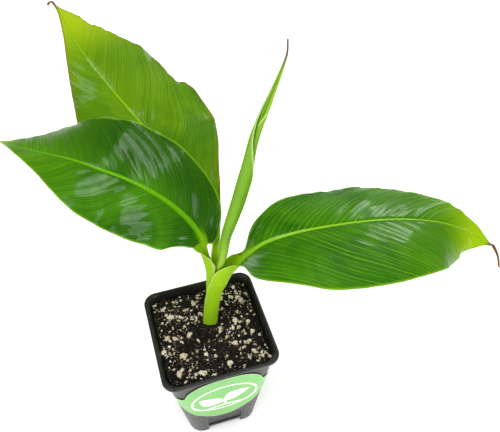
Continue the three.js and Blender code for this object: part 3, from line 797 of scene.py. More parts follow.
fibre, tree, shader = new_material("bark_fibre")
where = object_place(tree)
shade = place_group(tree, mottle, {"Where": where, "Scale": 300.0, "Contrast": 3.0})
finish(tree, shader, blend(tree, shade["Mask"], colour(58, 40, 26), colour(128, 96, 66)),
       step(tree, shade["Fine"], 0.3, 0.7, 0.6, 0.9), shade["Fine"], 0.0001)
points, faces = [], []
for n in range(FIBRE_COUNT):
    x, y = on_soil(3.0)
    heading = random.uniform(0, ANY_TURN)
    length, thick = random.uniform(2.0, 6.0), random.uniform(0.09, 0.2)
    start = len(points)
    for k in range(FIBRE_RINGS):
        heading += random.uniform(-0.35, 0.35)
        x += math.cos(heading) * length / 6
        y += math.sin(heading) * length / 6
        x, y = (max(-half_side + 1, min(half_side - 1, v)) for v in (x, y))
        z = soil_height(x, y) + crumbs(x, y) + 0.3 + 0.5 * math.sin(k / 6 * math.pi)
        taper = thick * (0.35 + 0.65 * math.sin(math.pi * (k + 0.6) / 7.2))
        for c in range(FIBRE_SIDES):
            a = c / FIBRE_SIDES * 2 * math.pi
            sideways = math.cos(a) * taper
            points.append((x - math.sin(heading) * sideways, y + math.cos(heading) * sideways,
                           z + math.sin(a) * taper))
    faces += shifted(ring_faces(FIBRE_RINGS, FIBRE_SIDES), start)
piece("mix_fibres", points, faces, [fibre], (), 60)
print("crumbs and fibres scattered")

# %% [markdown]
# ## Perlite
# Perlite is volcanic glass puffed up by heat: chalky, full of tiny bubbles, and stained cream and
# tan by the peat. The stain gathers in the pits, so the pits' own noise drives both bump and tint.

# %% Finish of the perlite
perlite, tree, shader = new_material("puffed_perlite", Subsurface_Weight=0.08, Subsurface_Scale=0.001)
where = object_place(tree)
stain = place_group(tree, mottle, {"Where": where, "Scale": 190.0, "Contrast": 3.4})
pores = place_group(tree, fleck, {"Where": where, "Scale": 2300.0, "Size": 0.42, "Share": 0.7})
tint = read(tree, "tint")
base = blend(tree, stain["Mask"], colour(250, 244, 228), colour(214, 198, 166))
base = blend(tree, tint, base, colour(206, 170, 122))
base = over(tree, base, pores["Mask"], 0.45, colour(120, 98, 74))
base = blend(tree, step(tree, stain["Fine"], 0.5, 0.7, 0.0, 0.8), base, colour(70, 54, 40))
pit = maths(tree, "SUBTRACT", stain["Fine"], maths(tree, "MULTIPLY", pores["Mask"], 0.8))
finish(tree, shader, base, step(tree, stain["Mask"], 0.2, 0.8, 0.75, 0.95), pit, 0.0002)

# %% Large granules, one for each in the measured model
LUMP_SHARE = 0.82  # a lump's mean radius is a share of its granule's, because it has knobs
GRANULES = [  # place x and y, radius
    (-25, -24, 2.1), (-12, -27, 1.8), (6, -26, 2.0), (23, -22, 1.9), (-20, -12, 2.2), (-6, -15, 1.7),
    (13, -13, 2.1), (26, -8, 1.8), (-27, 3, 1.9), (-13, 2, 2.1), (18, 4, 2.0), (-22, 18, 2.2),
    (-5, 24, 1.9), (13, 23, 2.1), (26, 17, 1.8), (-9, -4, 1.6),
]
random.seed(7)
for number, (x, y, radius) in enumerate(GRANULES, start=1):
    name = "perlite_granule_%02d" % number
    lift = soil_height(x, y) + crumbs(x, y) * 0.6 + 0.3 * radius
    flat = (random.uniform(0.95, 1.15), random.uniform(0.8, 1.0), random.uniform(0.75, 0.9))
    lump = stone(big_ball, (x, y, lift), radius * LUMP_SHARE, number, flat, 1.3 * number, 0.85)
    made = piece("perlite_lump_%02d" % number, lump, big_ball[1], [perlite], [name], 60)
    store(made, "tint", [random.choice((0.0, 0.1, 0.2, 0.45))] * len(big_ball[0]))
print("granules:", len(GRANULES))

# %% Small grains and dust, as one mesh


def scatter_perlite(wanted, shape, low, high, steepness, seed, rough):
    """Grains from low to high in radius, thicker in some patches than in others."""
    made = 0
    while made < wanted:
        x, y = on_soil(1.3)
        crowd = 0.5 + 0.5 * math.sin(x * 0.16 + 0.4) * math.cos(y * 0.15 + 0.5)
        bare_patch = math.exp(-((x + 5) ** 2 + (y - 1) ** 2) / 40)
        if random.random() > 0.3 + 0.7 * crowd - bare_patch:
            continue
        size = low + (high - low) * random.random() ** steepness
        z = soil_height(x, y) + crumbs(x, y) + size * 0.25
        squash = (random.uniform(0.95, 1.35), random.uniform(0.8, 1.0), random.uniform(0.65, 0.95))
        start = len(points)
        turn = random.uniform(0, ANY_TURN)
        points.extend(stone(shape, (x, y, z), size, made + seed, squash, turn, rough))
        faces.extend(shifted(shape[1], start))
        tints.extend([random.choice((0.0, 0.0, 0.1, 0.3, 0.6))] * len(shape[0]))
        made += 1


points, faces, tints = [], [], []
scatter_perlite(56, ball(3), 0.7, 1.35, 1.6, 100, 1.0)
scatter_perlite(460, small_ball, 0.3, 0.8, 1.5, 500, 1.1)
scatter_perlite(1200, speck_ball, 0.12, 0.3, 1.0, 900, 1.0)
fines = piece("perlite_fines", points, faces, [perlite], (), 60)
store(fines, "tint", tints)
print("small grains, points:", len(tints))

# %% [markdown]
# ## Leaf finishes
# A banana leaf has a waxy, deep green upper skin and a paler, duller under skin. Fine lateral veins
# leave the midrib at a slant. The midrib, the petiole and the sheath are lime and nearly smooth.
# Each leaf's mesh stores where a point lies: *vein* counts millimetres along the midrib in step
# with the lateral veins, *rib* is the distance from the midrib measured in midrib widths, *edge* is
# the distance from the margin, *side* says how far across the blade a point is, *blade* is 0 on the
# stem and 1 on the blade, *reach* runs along the blade from 0 to 1, and *tip* grows near the apex.

# %% A finish for any leaf skin


def leaf_skin(name, deep, light, vein_tone, rib_tone, stem_tone, margin_tone, tip_tone, spots, wax, gloss,
              painted_shade_side=0.0, outer_tone=None, dull_tip=0.0, burnt=0.0, line_share=0.5, spacing=2.3):
    """One skin of one leaf; wax is the coat weight and gloss the roughness of the blade."""
    material, tree, shader = new_material(
        name, Coat_Roughness=0.12, Coat_IOR=1.42, Specular_IOR_Level=0.13, Specular_Tint=(0.8, 1.0, 0.4, 1.0))
    where = object_place(tree)
    vein, rib, edge, side = (read(tree, k) for k in ("vein", "rib", "edge", "side"))
    on_blade, tip, reach = read(tree, "blade"), read(tree, "tip"), read(tree, "reach")
    patches = place_group(tree, mottle, {"Where": where, "Scale": 30.0, "Contrast": 3.6})
    grain = place_group(tree, mottle, {"Where": where, "Scale": 150.0, "Contrast": 2.0})
    lines = place_group(tree, veins, {"Vein": vein, "Side": side, "Spacing": spacing})
    freckles = place_group(tree, fleck, {"Where": where, "Scale": 420.0, "Size": 0.12, "Share": spots})
    base = blend(tree, patches["Mask"], deep, light)
    # Painted shade: the blade half on the plus side is darkened towards (22, 66, 4), as if it faced away from
    # the lamps.
    if painted_shade_side:
        base = blend(tree, step(tree, side, -0.05, 0.5, 0.0, painted_shade_side), base, colour(22, 66, 4))
    if outer_tone:
        base = blend(tree, step(tree, reach, 0.45, 0.95, 0.0, 0.75), base, outer_tone)
    base = over(tree, base, lines["Streak"], 0.34, deep)
    base = over(tree, base, lines["Band"], 0.45, deep)
    base = over(tree, base, lines["Line"], line_share, vein_tone)
    base = over(tree, base, grain["Mask"], 0.12, light)
    base = blend(tree, step(tree, tip, 0.0, 0.9, 0.0, 0.9), base, tip_tone)
    base = blend(tree, step(tree, edge, 1.5, 0.4, 0.0, 0.6), base, margin_tone)
    if burnt:
        scorch = place_group(tree, fleck, {"Where": where, "Scale": 520.0, "Size": 0.3, "Share": 0.5})
        rim_band = maths(tree, "MULTIPLY", step(tree, edge, 9.0, 0.5), step(tree, side, 0.2, 0.6, 0.0, burnt))
        rim_band = maths(tree, "MULTIPLY", rim_band, step(tree, reach, 0.55, 0.3))
        base = over(tree, base, scorch["Mask"], rim_band, colour(176, 122, 8))
    base = blend(tree, step(tree, rib, 1.25, 0.7), base, rib_tone)
    sheath = blend(tree, grain["Mask"], stem_tone, rib_tone)
    fibres = add(tree, "ShaderNodeCombineXYZ", {
        "X": maths(tree, "MULTIPLY", side, 9.0), "Y": maths(tree, "MULTIPLY", vein, 0.02)}).outputs[0]
    threads = fractal(tree, fibres, 5.0, 4.0, 0.7)
    sheath = blend(tree, step(tree, threads, 0.35, 0.7, 0.0, 0.22), sheath, colour(110, 160, 20))
    sheath = blend(tree, step(tree, edge, 0.8, 0.25, 0.0, 0.45), sheath, colour(204, 210, 120))
    base = blend(tree, on_blade, sheath, base)
    stem_dots = place_group(tree, fleck, {"Where": where, "Scale": 560.0, "Size": 0.16, "Share": 0.16})
    dotted = maths(tree, "MULTIPLY", stem_dots["Mask"], maths(tree, "SUBTRACT", 1.0, on_blade))
    dotted = maths(tree, "MAXIMUM", dotted, freckles["Mask"])
    base = over(tree, base, dotted, 0.7, colour(74, 58, 20))
    dry = step(tree, tip, 1.25, 1.6)
    base = blend(tree, dry, base, colour(120, 78, 40))
    sheen = step(tree, lines["Streak"], 0.0, 1.0, gloss + 0.1, gloss - 0.04)
    rough = add(tree, "ShaderNodeMix", {0: on_blade, 2: 0.46, 3: sheen}, data_type="FLOAT").outputs[0]
    relief = maths(tree, "MULTIPLY", lines["Height"], on_blade)
    relief = maths(tree, "ADD", relief, maths(tree, "MULTIPLY", grain["Fine"], 0.5))
    finish(tree, shader, base, rough, relief, 0.00016, 0.9)
    waxy = maths(tree, "MULTIPLY", step(tree, patches["Fine"], 0.3, 0.7, wax * 0.7, wax),
                 step(tree, lines["Band"], 0.0, 1.0, 1.0, 0.4))
    covered = maths(tree, "MULTIPLY", maths(tree, "SUBTRACT", 1.0, dry),
                    step(tree, on_blade, 0.0, 1.0, 0.3, 1.0))
    covered = maths(tree, "MULTIPLY", covered, step(tree, reach, 0.5, 0.85, 1.0, 1.0 - dull_tip))
    tree.links.new(maths(tree, "MULTIPLY", covered, waxy), shader.inputs["Coat Weight"])
    return material


lime, lime_pale = colour(150, 192, 0), colour(150, 190, 2)
FINISHES = {
    "left": [
        # The left leaf's upper skin carries painted shade on its plus half, at 0.9 of full strength.
        leaf_skin("left_leaf_upper", colour(30, 84, 0), colour(66, 130, 0), colour(98, 156, 4),
                  colour(92, 158, 2), lime, colour(116, 168, 2), colour(190, 212, 70), 0.03, 0.78, 0.3,
                  painted_shade_side=0.9, outer_tone=colour(106, 162, 0), dull_tip=0.9, line_share=0.32),
        leaf_skin("left_leaf_under", colour(80, 134, 14), colour(108, 160, 26), colour(134, 180, 50),
                  colour(136, 184, 30), lime, colour(146, 178, 40), colour(176, 182, 70), 0.05, 0.15, 0.45),
    ],
    "right": [
        leaf_skin("right_leaf_upper", colour(30, 90, 0), colour(68, 130, 0), colour(124, 174, 14),
                  colour(130, 182, 34), lime, colour(122, 170, 4), colour(146, 180, 2), 0.04, 0.52, 0.32,
                  outer_tone=colour(92, 146, 0), line_share=0.75, spacing=4.2),
        leaf_skin("right_leaf_under", colour(80, 138, 12), colour(106, 162, 20), colour(136, 182, 50),
                  colour(140, 186, 36), lime, colour(146, 178, 40), colour(168, 158, 40), 0.08, 0.15, 0.45),
    ],
    "back": [
        leaf_skin("back_leaf_upper", colour(50, 104, 0), colour(98, 138, 0), colour(128, 170, 4),
                  colour(122, 172, 4), lime_pale, colour(128, 86, 30), colour(150, 178, 2), 0.42, 0.45, 0.34,
                  outer_tone=colour(108, 146, 0), burnt=0.8, line_share=0.3, spacing=2.8),
        leaf_skin("back_leaf_under", colour(104, 158, 14), colour(130, 178, 26), colour(154, 198, 60),
                  colour(150, 194, 50), lime_pale, colour(146, 116, 50), colour(166, 186, 50),
                  0.16, 0.12, 0.45),
    ],
}
print("leaf finishes:", sum(len(v) for v in FINISHES.values()))

# %% [markdown]
# ## Leaf shape
# Each leaf is one growth: a sheath that wraps the stem, a channelled petiole, and a blade in two
# halves that droop from the midrib. The tables give stations along the midline. A station holds
# its place (height from the soil line), the half widths on the two sides, the angle at which each
# side leaves the midrib and how far it bends, the roll, and the thickness at midrib and margin.
# A smooth curve through the stations gives fine rows. Sheath stations give a height, how far the
# back has moved out from the stem's middle, and how far each side wraps round.

# %% Stations of the three leaves
CLEARANCE = 0.3
BACK_INNER = 1.6 + CLEARANCE + 0.1
LEFT_INNER = BACK_INNER + 0.6 + CLEARANCE
RIGHT_INNER = LEFT_INNER + 0.7 + CLEARANCE
LEAVES = {
    "left": dict(azimuth=141, inner=LEFT_INNER, wall=0.7, sheath=[
        (-5, 0, 165, 165), (16, 0, 165, 165), (28, .2, 130, 160), (38, .7, 95, 145), (47, 1.2, 66, 118),
    ], rows=[
        (4.2, 11.4, 55, 3.5, 8.5, 0, 0, 50, 138, 0, .9, .45),
        (3.4, 13.8, 63, 3.2, 10, 5, 5, 45, 98, 0, 1.2, .4),
        (3.4, 15.8, 66.8, 3.6, 11.6, 14, 12, 45, 42, 4, 1.35, .4),
        (3.6, 18.2, 70.5, 12, 13.5, 32, 18, 30, 0, 10, 1.5, .35),
        (-0.6, 25.4, 78, 22, 25.5, 26, 20, -10, -12, 19, 1.4, .35),
        (-8.6, 33, 87, 27.5, 29.5, 21, 16, -17, -17, 22, 1.3, .35),
        (-19.1, 41.5, 94, 32, 31.5, 18, 12, -24, -24, 25, 1.2, .35),
        (-31, 51.3, 98, 33.5, 31.5, 15, 10, -27, -28, 26, 1.1, .35),
        (-44.3, 60, 101.6, 33.5, 28.8, 14, 9, -26, -29, 25, 1, .35),
        (-57.4, 71.8, 102, 33, 22.5, 13, 8, -25, -30, 24, .9, .35),
        (-71.6, 86.2, 98.4, 29, 13.6, 12, 8, -22, -28, 22, .8, .35),
        (-86, 103.2, 93.2, 18, 7, 10, 8, -16, -19, 16, .7, .35),
        (-97.8, 118.4, 87.9, 5, 2, 8, 8, -10, -10, 10, .6, .35),
        (-102, 124.8, 85.5, .6, .5, 8, 8, -10, -10, 10, .45, .35),
    ]),
    "right": dict(azimuth=-8, inner=RIGHT_INNER, wall=0.9, sheath=[
        (-5, 0, 168, 168), (12, 0, 168, 160), (22, .3, 162, 140),
    ], rows=[
        (11.2, 7.2, 33, 12.9, 9, 0, 0, 150, 105, 0, .9, .6),
        (14.4, 7, 40.7, 14.4, 8, 0, 0, 138, 78, 0, .95, .6),
        (17.7, 6.8, 47.6, 14, 7.6, 16, 16, 108, 62, 0, 1.1, .5),
        (22.3, 6.6, 53.6, 10.4, 7, 18, 18, 80, 56, 0, 1.3, .4),
        (28.4, 6, 61.2, 13.5, 4, 20, 24, 10, 40, 2, 1.4, .35),
        (37.3, 4, 69.8, 33, 17.5, 20, 20, -10, -10, 4, 1.4, .35),
        (47.1, 2.3, 74, 40, 25.5, 16, 17, -20, -15, 6, 1.3, .35),
        (61.4, .3, 77, 45.5, 32.5, 11, 14, -30, -22, 9, 1.2, .35),
        (81.4, -2.5, 78.5, 47, 36.2, 7, 11, -34, -25, 10, 1.1, .35),
        (102, -5.1, 78, 46, 38, 6, 10, -33, -24, 10, 1, .35),
        (122.6, -8, 75, 40, 33.5, 5, 9, -31, -23, 10, .9, .35),
        (141.7, -12, 70, 30.5, 22, 5, 8, -28, -21, 8, .8, .35),
        (156, -17.5, 64.2, 18, 9, 6, 8, -19, -15, 5, .7, .35),
        (163.5, -23.2, 60.5, 7, 3.5, 8, 8, -10, -10, 0, .6, .35),
        (167.6, -26.7, 58, 1.3, 1.1, 15, 15, 20, 20, 0, .5, .35),
        (171.5, -27.8, 55, .8, .8, 20, 20, 40, 40, 0, .5, .35),
        (174.6, -30, 49.5, .7, .7, 20, 20, 60, 60, 0, .45, .35),
        (176.8, -31.3, 43.5, .6, .6, 20, 20, 60, 60, 0, .45, .35),
        (178.2, -32.3, 38, .5, .5, 20, 20, 60, 60, 0, .4, .35),
    ]),
    "back": dict(azimuth=115, inner=BACK_INNER, wall=0.6, sheath=[
        (-5, 0, 160, 160), (18, 0, 160, 160), (30, 0, 140, 150), (40, 0, 95, 125), (48, .2, 70, 100),
    ], rows=[
        (8, 11.2, 56, 2.8, 3, 0, 0, 65, 75, 0, .7, .4), (9.8, 14, 62, 2.8, 2.8, 10, 10, 60, 60, 0, 1, .4),
        (12, 19.6, 67, 3, 3, 20, 20, 50, 50, 0, 1.2, .4),
        (14.2, 30.4, 71, 4.5, 5, 24, 24, 20, 20, 0, 1.3, .35),
        (10.6, 47.5, 76, 14.5, 15, 20, 5, -5, -25, 0, 1.2, .35),
        (2.5, 65, 84.4, 31, 28, 15, 0, -16, -35, 3, 1.1, .35),
        (-4.7, 80.7, 90.5, 42.4, 34, 12, 4, -22, -35, 4, 1, .35),
        (-10.6, 96, 94.5, 45.5, 36, 11, 4, -21, -32, 4, .95, .35),
        (-17.8, 107.8, 102.5, 41.8, 34.5, 10, 4, -21, -32, 4, .9, .35),
        (-25.4, 124.8, 107.9, 40, 28.6, 9, 1, -20, -32, 4, .8, .35),
        (-35, 143, 119.3, 34.5, 16.3, 8, 8, -18, -22, 3, .7, .35),
        (-42.7, 162.3, 128.2, 22.5, 5.9, 8, 8, -14, -16, 2, .6, .35),
        (-46.5, 178.8, 134.9, 8.8, 1.9, 8, 8, -10, -10, 0, .5, .35),
        (-48.4, 187, 137, 1.2, 1.1, 8, 8, -10, -10, 0, .5, .35),
        (-50.4, 192.8, 137.9, .8, .8, 10, 10, 20, 20, 0, .5, .35),
        (-52.3, 195.5, 136.8, .7, .7, 10, 10, 20, 20, 0, .45, .35),
        (-54.3, 197.6, 134.1, .6, .6, 10, 10, 20, 20, 0, .4, .35),
    ]),
}
WAVES = {"left": (0.8, 0.8), "right": (0.75, 0.8), "back": (0.85, 1.3)}
BLADE_FROM = {"left": 3, "right": 4, "back": 3}
APEX = {"left": 0, "right": 5, "back": 4}
print("stations:", {k: len(v["sheath"]) + len(v["rows"]) for k, v in LEAVES.items()})

# %% [markdown]
# ## Leaf skins
# The upper skin is the net of points across each row; the under skin is the same net moved inward
# by the thickness, which swells at the midrib. Three things are then added on both skins at once:
# a groove along the midrib, soft pleats and creases that follow the lateral veins, and a lazy wave
# at the margins. They are real shape, so they also show in the outline and in the gloss.

# %% Build a leaf


def sheath_rows(leaf):
    a = math.radians(leaf["azimuth"])
    outward = Vector((math.cos(a), math.sin(a), 0))
    outward = (outward - STEM_LEAN * outward.dot(STEM_LEAN)).normalized()
    rows = []
    for z, moved, plus, minus in leaf["sheath"]:
        radius = leaf["inner"] + moved * 0.6
        c = STEM_FOOT + STEM_LEAN * (z / STEM_LEAN.z) + outward * (leaf["inner"] + moved)
        rows.append((c.x, c.y, c.z - SOIL_LEVEL, radius * math.radians(plus), radius * math.radians(minus),
                     0, 0, plus, minus, 0, leaf["wall"], leaf["wall"] * 0.8))
    return rows


def unit(v):
    return v / np.linalg.norm(v)


def section(width, bend, start, l):
    """Where a side of the leaf is after l millimetres from the midrib, and its slope there."""
    k, a = math.radians(bend) / width, math.radians(start)
    if abs(k) < 1e-5:
        return l * math.cos(a), l * math.sin(a), a
    return (math.sin(a + k * l) - math.sin(a)) / k, (math.cos(a) - math.cos(a + k * l)) / k, a + k * l


SHEATH_PARTS, PARTS, ACROSS = 6, 10, 26
PLEAT_LENGTH, CREASE_LENGTH, WAVE_LENGTH = 4.2, 1.7, 13.0
CREASE_SIZE, GROOVE_DEPTH, GROOVE_WIDTH = 0.16, 0.45, 1.1


def build_leaf(key):
    leaf = LEAVES[key]
    first = len(leaf["sheath"])
    coarse = sheath_rows(leaf) + list(leaf["rows"])
    fine = np.vstack([np.array(curve_through(coarse[:first + 1], SHEATH_PARTS))[:-1],
                      curve_through(coarse, PARTS)[first * PARTS:]])
    sheath_count = first * SHEATH_PARTS
    coarse_at = np.concatenate([np.arange(sheath_count) / SHEATH_PARTS,
                                first + np.arange(len(fine) - sheath_count) / PARTS])
    azimuth = math.radians(leaf["azimuth"])
    lean = np.array(STEM_LEAN) - np.array((math.cos(azimuth), math.sin(azimuth), 0))
    centres = fine[:, :3] + (0, 0, SOIL_LEVEL)
    travelled = np.concatenate([[0], np.cumsum(np.linalg.norm(np.diff(centres, axis=0), axis=1))])
    upper, under = [], []
    stored = {k: [] for k in ("vein", "rib", "edge", "side", "blade", "tip", "reach")}
    rims = {-1: [], 1: []}
    pleat_size, wave_size = WAVES[key]
    blade_row = first + BLADE_FROM[key]
    apex_row = len(coarse) - 1 - APEX[key]
    for i, row in enumerate(fine):
        tangent = unit(centres[min(i + 1, len(fine) - 1)] - centres[max(i - 1, 0)])
        normal = unit(lean - tangent * lean.dot(tangent))
        across = np.cross(tangent, normal)
        roll = math.radians(row[9])
        b = across * math.cos(roll) + normal * math.sin(roll)
        n = normal * math.cos(roll) - across * math.sin(roll)
        on_blade = limit((coarse_at[i] - blade_row + 0.6) / 1.2)
        remaining = apex_row - coarse_at[i]
        reach = limit(1 - remaining / (apex_row - blade_row))
        tip = max(0.0, 1 - remaining / (2.2 if APEX[key] else 1.6))
        rib_width = 0.22 + 1.5 * limit(remaining / 9) ** 1.7
        for j in range(-ACROSS, ACROSS + 1):
            sign = -1 if j < 0 else 1
            width = max(0.3, row[4] if j < 0 else row[3])
            power = 1 + 0.6 * limit((width - 12) / 15)
            share = abs(j) / ACROSS
            l = width * share ** power
            out, lift, slope = section(width, row[8] if j < 0 else row[7], row[6] if j < 0 else row[5], l)
            slope = 0.0 if j == 0 else slope
            slant = 0.6 + 0.75 * limit(1 - remaining / 9)
            vein = travelled[i] - l * slant - 0.35 * width * (l / width) ** 3
            free = on_blade * min(1.0, l / 6) * min(1.0, width / 12)
            pleat = noise.noise(Vector((vein / PLEAT_LENGTH, 1.3 * share, 7.0 * sign)))
            crease = noise.noise(Vector((vein / CREASE_LENGTH, 2.2 * share, 9.0 + 5.0 * sign)))
            flutter = noise.noise(Vector((vein / WAVE_LENGTH, 0.0, 3.0 * sign)))
            folds = pleat_size * pleat + CREASE_SIZE * crease
            shift = free * (folds + wave_size * (l / width) ** 2 * flutter)
            shift -= on_blade * GROOVE_DEPTH * math.exp(-(l / GROOVE_WIDTH) ** 2) * min(1.0, width / 8)
            skin = n * math.cos(slope) - b * (sign * math.sin(slope))
            point = centres[i] + b * (sign * out) + n * lift + skin * shift
            rib_share = math.exp(-(l / max(2.2, 0.35 * min(width, 12))) ** 2)
            thick = row[11] + (row[10] - row[11]) * rib_share
            upper.append(point)
            under.append(point - skin * thick)
            if abs(j) == ACROSS:
                outward = b * (sign * math.cos(slope)) + n * math.sin(slope)
                rims[sign].append((coarse_at[i], point - skin * thick * 0.5, outward, skin))
            lobe = limit((l - 1.8) / 2) if coarse_at[i] > blade_row - 0.6 else 0.0
            for name, value in (("vein", vein), ("rib", l / rib_width), ("edge", width - l), ("tip", tip),
                                ("side", sign * l / width), ("blade", max(on_blade, lobe)), ("reach", reach)):
                stored[name].append(value)
    rows, cols = len(fine), 2 * ACROSS + 1
    front, back, edges = sheet_faces(rows, cols)
    picks = [0] * len(front) + [1] * (len(back) + len(edges))
    made = piece(key + "_leaf_growth", upper + under, front + back + edges, FINISHES[key],
                 [key + "_leaf"], 50, picks)
    for name, values in stored.items():
        store(made, name, values + values)
    print(made.name, "rows", rows, "length", round(travelled[-1]), "mm")
    return rims


rims_of = {key: build_leaf(key) for key in LEAVES}

# %% [markdown]
# ## Papery margins
# The free margins of a sheath dry to a thin white paper while the leaf stays green, and small bits
# of it stay on where the blade begins. Each strip is a closed sheet that starts inside the green
# margin, stands out past it by about a millimetre, and crinkles. Its free edge is ragged because
# its width follows noise.

# %% Finish of the dry paper
dry_paper, tree, shader = new_material("dry_sheath_paper", Subsurface_Weight=0.1, Subsurface_Scale=0.001,
                                       Specular_IOR_Level=0.3)
where = object_place(tree)
fading = place_group(tree, mottle, {"Where": where, "Scale": 240.0, "Contrast": 2.6})
strands = place_group(tree, fleck, {"Where": where, "Scale": 1200.0, "Size": 0.22, "Share": 0.2})
base = blend(tree, fading["Mask"], colour(222, 222, 170), colour(170, 176, 80))
base = blend(tree, step(tree, read(tree, "free"), 0.75, 1.0, 0.0, 0.6), base, colour(150, 120, 70))
base = over(tree, base, strands["Mask"], 0.5, colour(110, 84, 48))
finish(tree, shader, base, step(tree, fading["Mask"], 0.2, 0.8, 0.6, 0.8), fading["Fine"], 0.0001)
print("paper tones run from cream to tan")

# %% Set the papery strips
PAPER_HALF, PAPER_COLUMNS, TUCKED_IN = 0.07, 6, 0.35


def paper_strip(name, key, side, low, high, width):
    """A crinkled strip along one margin, between two stations of the leaf."""
    rim = np.array([[at, *point, *outward, *skin] for at, point, outward, skin in rims_of[key][side]])
    at = np.linspace(low, high, max(12, round((high - low) * 16)))
    rim = np.stack([np.interp(at, rim[:, 0], rim[:, c]) for c in range(10)], axis=1)
    strip, free = [], []
    for face in (PAPER_HALF, -PAPER_HALF):
        for i, row in enumerate(rim):
            point, outward, skin = row[1:4], row[4:7], row[7:10]
            ends = math.sin(math.pi * (i + 0.6) / (len(rim) + 0.2)) ** 0.5
            ragged = 0.65 + 0.7 * noise.noise(Vector((i * 0.42, width, side)))
            for k in range(PAPER_COLUMNS):
                t = k / (PAPER_COLUMNS - 1)
                out = -TUCKED_IN + (TUCKED_IN + width * ends * ragged) * t
                crinkle = 0.28 * t * noise.noise(Vector((i * 0.3, 1.5 * t, 5.0)))
                strip.append(point + outward * out + skin * (face * (1.2 - t) + crinkle))
                free.append(t)
    front, back, edges = sheet_faces(len(rim), PAPER_COLUMNS)
    made = piece(name, strip, front + back + edges, [dry_paper], (), 60)
    store(made, "free", free)
    print(name, "points:", len(strip))


paper_strip("left_petiole_paper", "left", -1, 1.2, 6.2, 1.2)
paper_strip("left_sheath_paper", "left", 1, 2.0, 5.4, 0.8)
paper_strip("left_lobe_paper", "left", -1, 7.2, 8.5, 0.9)
paper_strip("right_sheath_paper", "right", -1, 2.4, 5.6, 0.6)
paper_strip("right_front_paper", "right", 1, 2.4, 5.2, 0.55)

# %% [markdown]
# ## The rolled spear
# The next leaf rises through the middle still rolled like a scroll. Its free margin shows as a step
# on the roll, and near the top the roll is dented where the wrap stands open. A ring whose radius
# grows a little over one turn, with the margin tucked over the start, makes that scroll. Between
# `SWEEP_START` and `SWEEP_END` each ring is turned a little further than the one below, so that the
# margin climbs round from the right edge to the left.

# %% Finish of the spear
spear_skin, tree, shader = new_material("spear_pale_skin", Coat_Weight=0.3, Coat_Roughness=0.3,
                                        Specular_IOR_Level=0.2)
where = object_place(tree)
height_up = add(tree, "ShaderNodeSeparateXYZ", {"Vector": where}).outputs["Z"]
tone = place_group(tree, mottle, {"Where": where, "Scale": 50.0, "Contrast": 2.0})
dots = place_group(tree, fleck, {"Where": where, "Scale": 340.0, "Size": 0.13, "Share": 0.3})
turn_at, margin_at = read(tree, "turn"), read(tree, "margin")
lines = place_group(tree, veins, {
    "Vein": maths(tree, "MULTIPLY", turn_at, 26.0), "Side": maths(tree, "MULTIPLY", height_up, 9.0),
    "Spacing": 1.7})
base = blend(tree, tone["Mask"], colour(96, 150, 10), colour(122, 170, 22))
base = over(tree, base, lines["Streak"], 0.3, colour(104, 156, 34))
base = blend(tree, step(tree, height_up, 0.15, 0.165, 0.6, 0.0), base, colour(150, 196, 40))
base = blend(tree, step(tree, height_up, 0.215, 0.262, 0.0, 0.85), base, colour(150, 196, 20))
base = blend(tree, step(tree, margin_at, 0.0, 1.0, 0.0, 0.8), base, colour(196, 220, 130))
# Painted shade: the skin is darkened towards (72, 128, 12) in a band under the overlapping margin, on the
# tucked points and in the open dent.
base = blend(tree, step(tree, read(tree, "painted_shade"), 0.0, 1.0, 0.0, 0.8), base, colour(72, 128, 12))
base = blend(tree, step(tree, height_up, 0.268, 0.279), base, colour(122, 84, 72))
base = over(tree, base, dots["Mask"], 0.8, colour(96, 70, 24))
finish(tree, shader, base, step(tree, tone["Fine"], 0.3, 0.7, 0.36, 0.5),
       maths(tree, "ADD", lines["Height"], tone["Fine"]), 0.00012, 0.7)

# %% Roll the spear
SPEAR = [  # height above the mix, place x and y, radius
    (47, 8.1, 7.7, 1.7), (54, 10.4, 7, 2.1), (60, 12.4, 7, 2.4), (66, 14, 8.2, 2.7), (75, 16.3, 10.4, 3.1),
    (84, 19.4, 11.4, 3.5), (99, 25, 13.2, 4), (119, 30.9, 14.8, 4), (137, 34.7, 14.9, 3.4),
    (150, 37.7, 13.2, 2.8), (161, 40.6, 11.6, 2.1), (175, 43.8, 8.4, 1.3), (186, 45.4, 4.9, .7),
    (192, 45.7, 2.8, .5), (200, 44.5, -.3, .4),
]
feet = [STEM_FOOT + STEM_LEAN * (z / STEM_LEAN.z) for z in (-5, 18, 38)]
buried = [(p.x, p.y, p.z, 1.6) for p in feet]
line = curve_through(buried + [(x, y, z + SOIL_LEVEL, r) for z, x, y, r in SPEAR], 12)
RING, TURN_SHARE = 84, 0.985
SWEEP_START, SWEEP_END = 108, 150
FRONT, LEFT_EDGE, RIGHT_EDGE = 170.0, 112.0, 262.0


def ease(value, low, high):
    t = limit((value - low) / (high - low))
    return t * t * (3 - 2 * t)


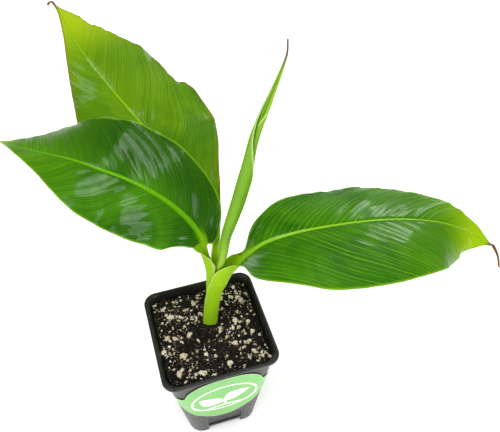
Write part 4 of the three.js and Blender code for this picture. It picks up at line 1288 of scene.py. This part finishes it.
points, turns, margins, painted_shades = [], [], [], []
for i, (x, y, z, radius) in enumerate(line):
    tangent = unit(line[min(i + 1, len(line) - 1)][:3] - line[max(i - 1, 0)][:3])
    first_axis = unit(np.array((0, 1, 0)) - tangent * tangent[1])
    second_axis = np.cross(tangent, first_axis)
    up_stem = z - SOIL_LEVEL
    swept = limit((up_stem - SWEEP_START) / (SWEEP_END - SWEEP_START))
    seam = RIGHT_EDGE + (LEFT_EDGE - RIGHT_EDGE) * swept
    depth = 0.12 + 0.30 * ease(up_stem, SWEEP_START, 135) - 0.28 * ease(up_stem, 146, 160)
    for k in range(RING + 3):
        if k < RING:
            part = k / (RING - 1)
            factor = 1 - depth * (1 - part) ** 0.8
            angle = seam + part * 360 * TURN_SHARE
            margin = max(0.0, 1 - (1 - part) * radius * 5.0)
            # A band beside the seam carries painted shade, as if the overlapping margin shaded it.
            painted_shade = 0.75 * max(0.0, 1 - part * radius * 3.4) * ease(up_stem, 100, 120)
        else:
            part = (k - RING + 1) / 3
            factor = 1 - (0.06 + (depth - 0.02) * part)
            angle = seam + 360 * (TURN_SHARE - 0.03 * part)
            margin, painted_shade = 1.0 - part, part
        facing = (angle - LEFT_EDGE) % 360
        lower_lip = 147 + 15 * min(1.0, facing / 150)
        trough = math.exp(-(((angle - FRONT + 180) % 360 - 180) / 48) ** 2)
        dent = trough * ease(up_stem, lower_lip, lower_lip + 4) * (1 - ease(up_stem, 174, 187))
        factor = max(0.2, factor - 0.7 * dent)
        in_front = facing < 165
        if in_front and up_stem > 140:
            margin = max(margin * (1 - dent), max(0.0, 1 - abs(up_stem - lower_lip) / 1.5))
            # Within the open dent the skin carries painted shade as well.
            painted_shade = max(painted_shade, dent * (1.0 if facing < 55 else 0.35))
        p = np.array((x, y, z)) + radius * factor * (
            first_axis * math.cos(math.radians(angle)) + second_axis * math.sin(math.radians(angle)))
        points.append(p)
        turns.append(part if k < RING else 1.0)
        margins.append(margin)
        painted_shades.append(painted_shade)
spear = piece("spear_leaf_roll", points, ring_faces(len(line), RING + 3), [spear_skin], ["spear_leaf"],
              48)
for name, values in (("turn", turns), ("margin", margins), ("painted_shade", painted_shades)):
    store(spear, name, values)
print("spear rings:", len(line))

# %% Finish
print("done")
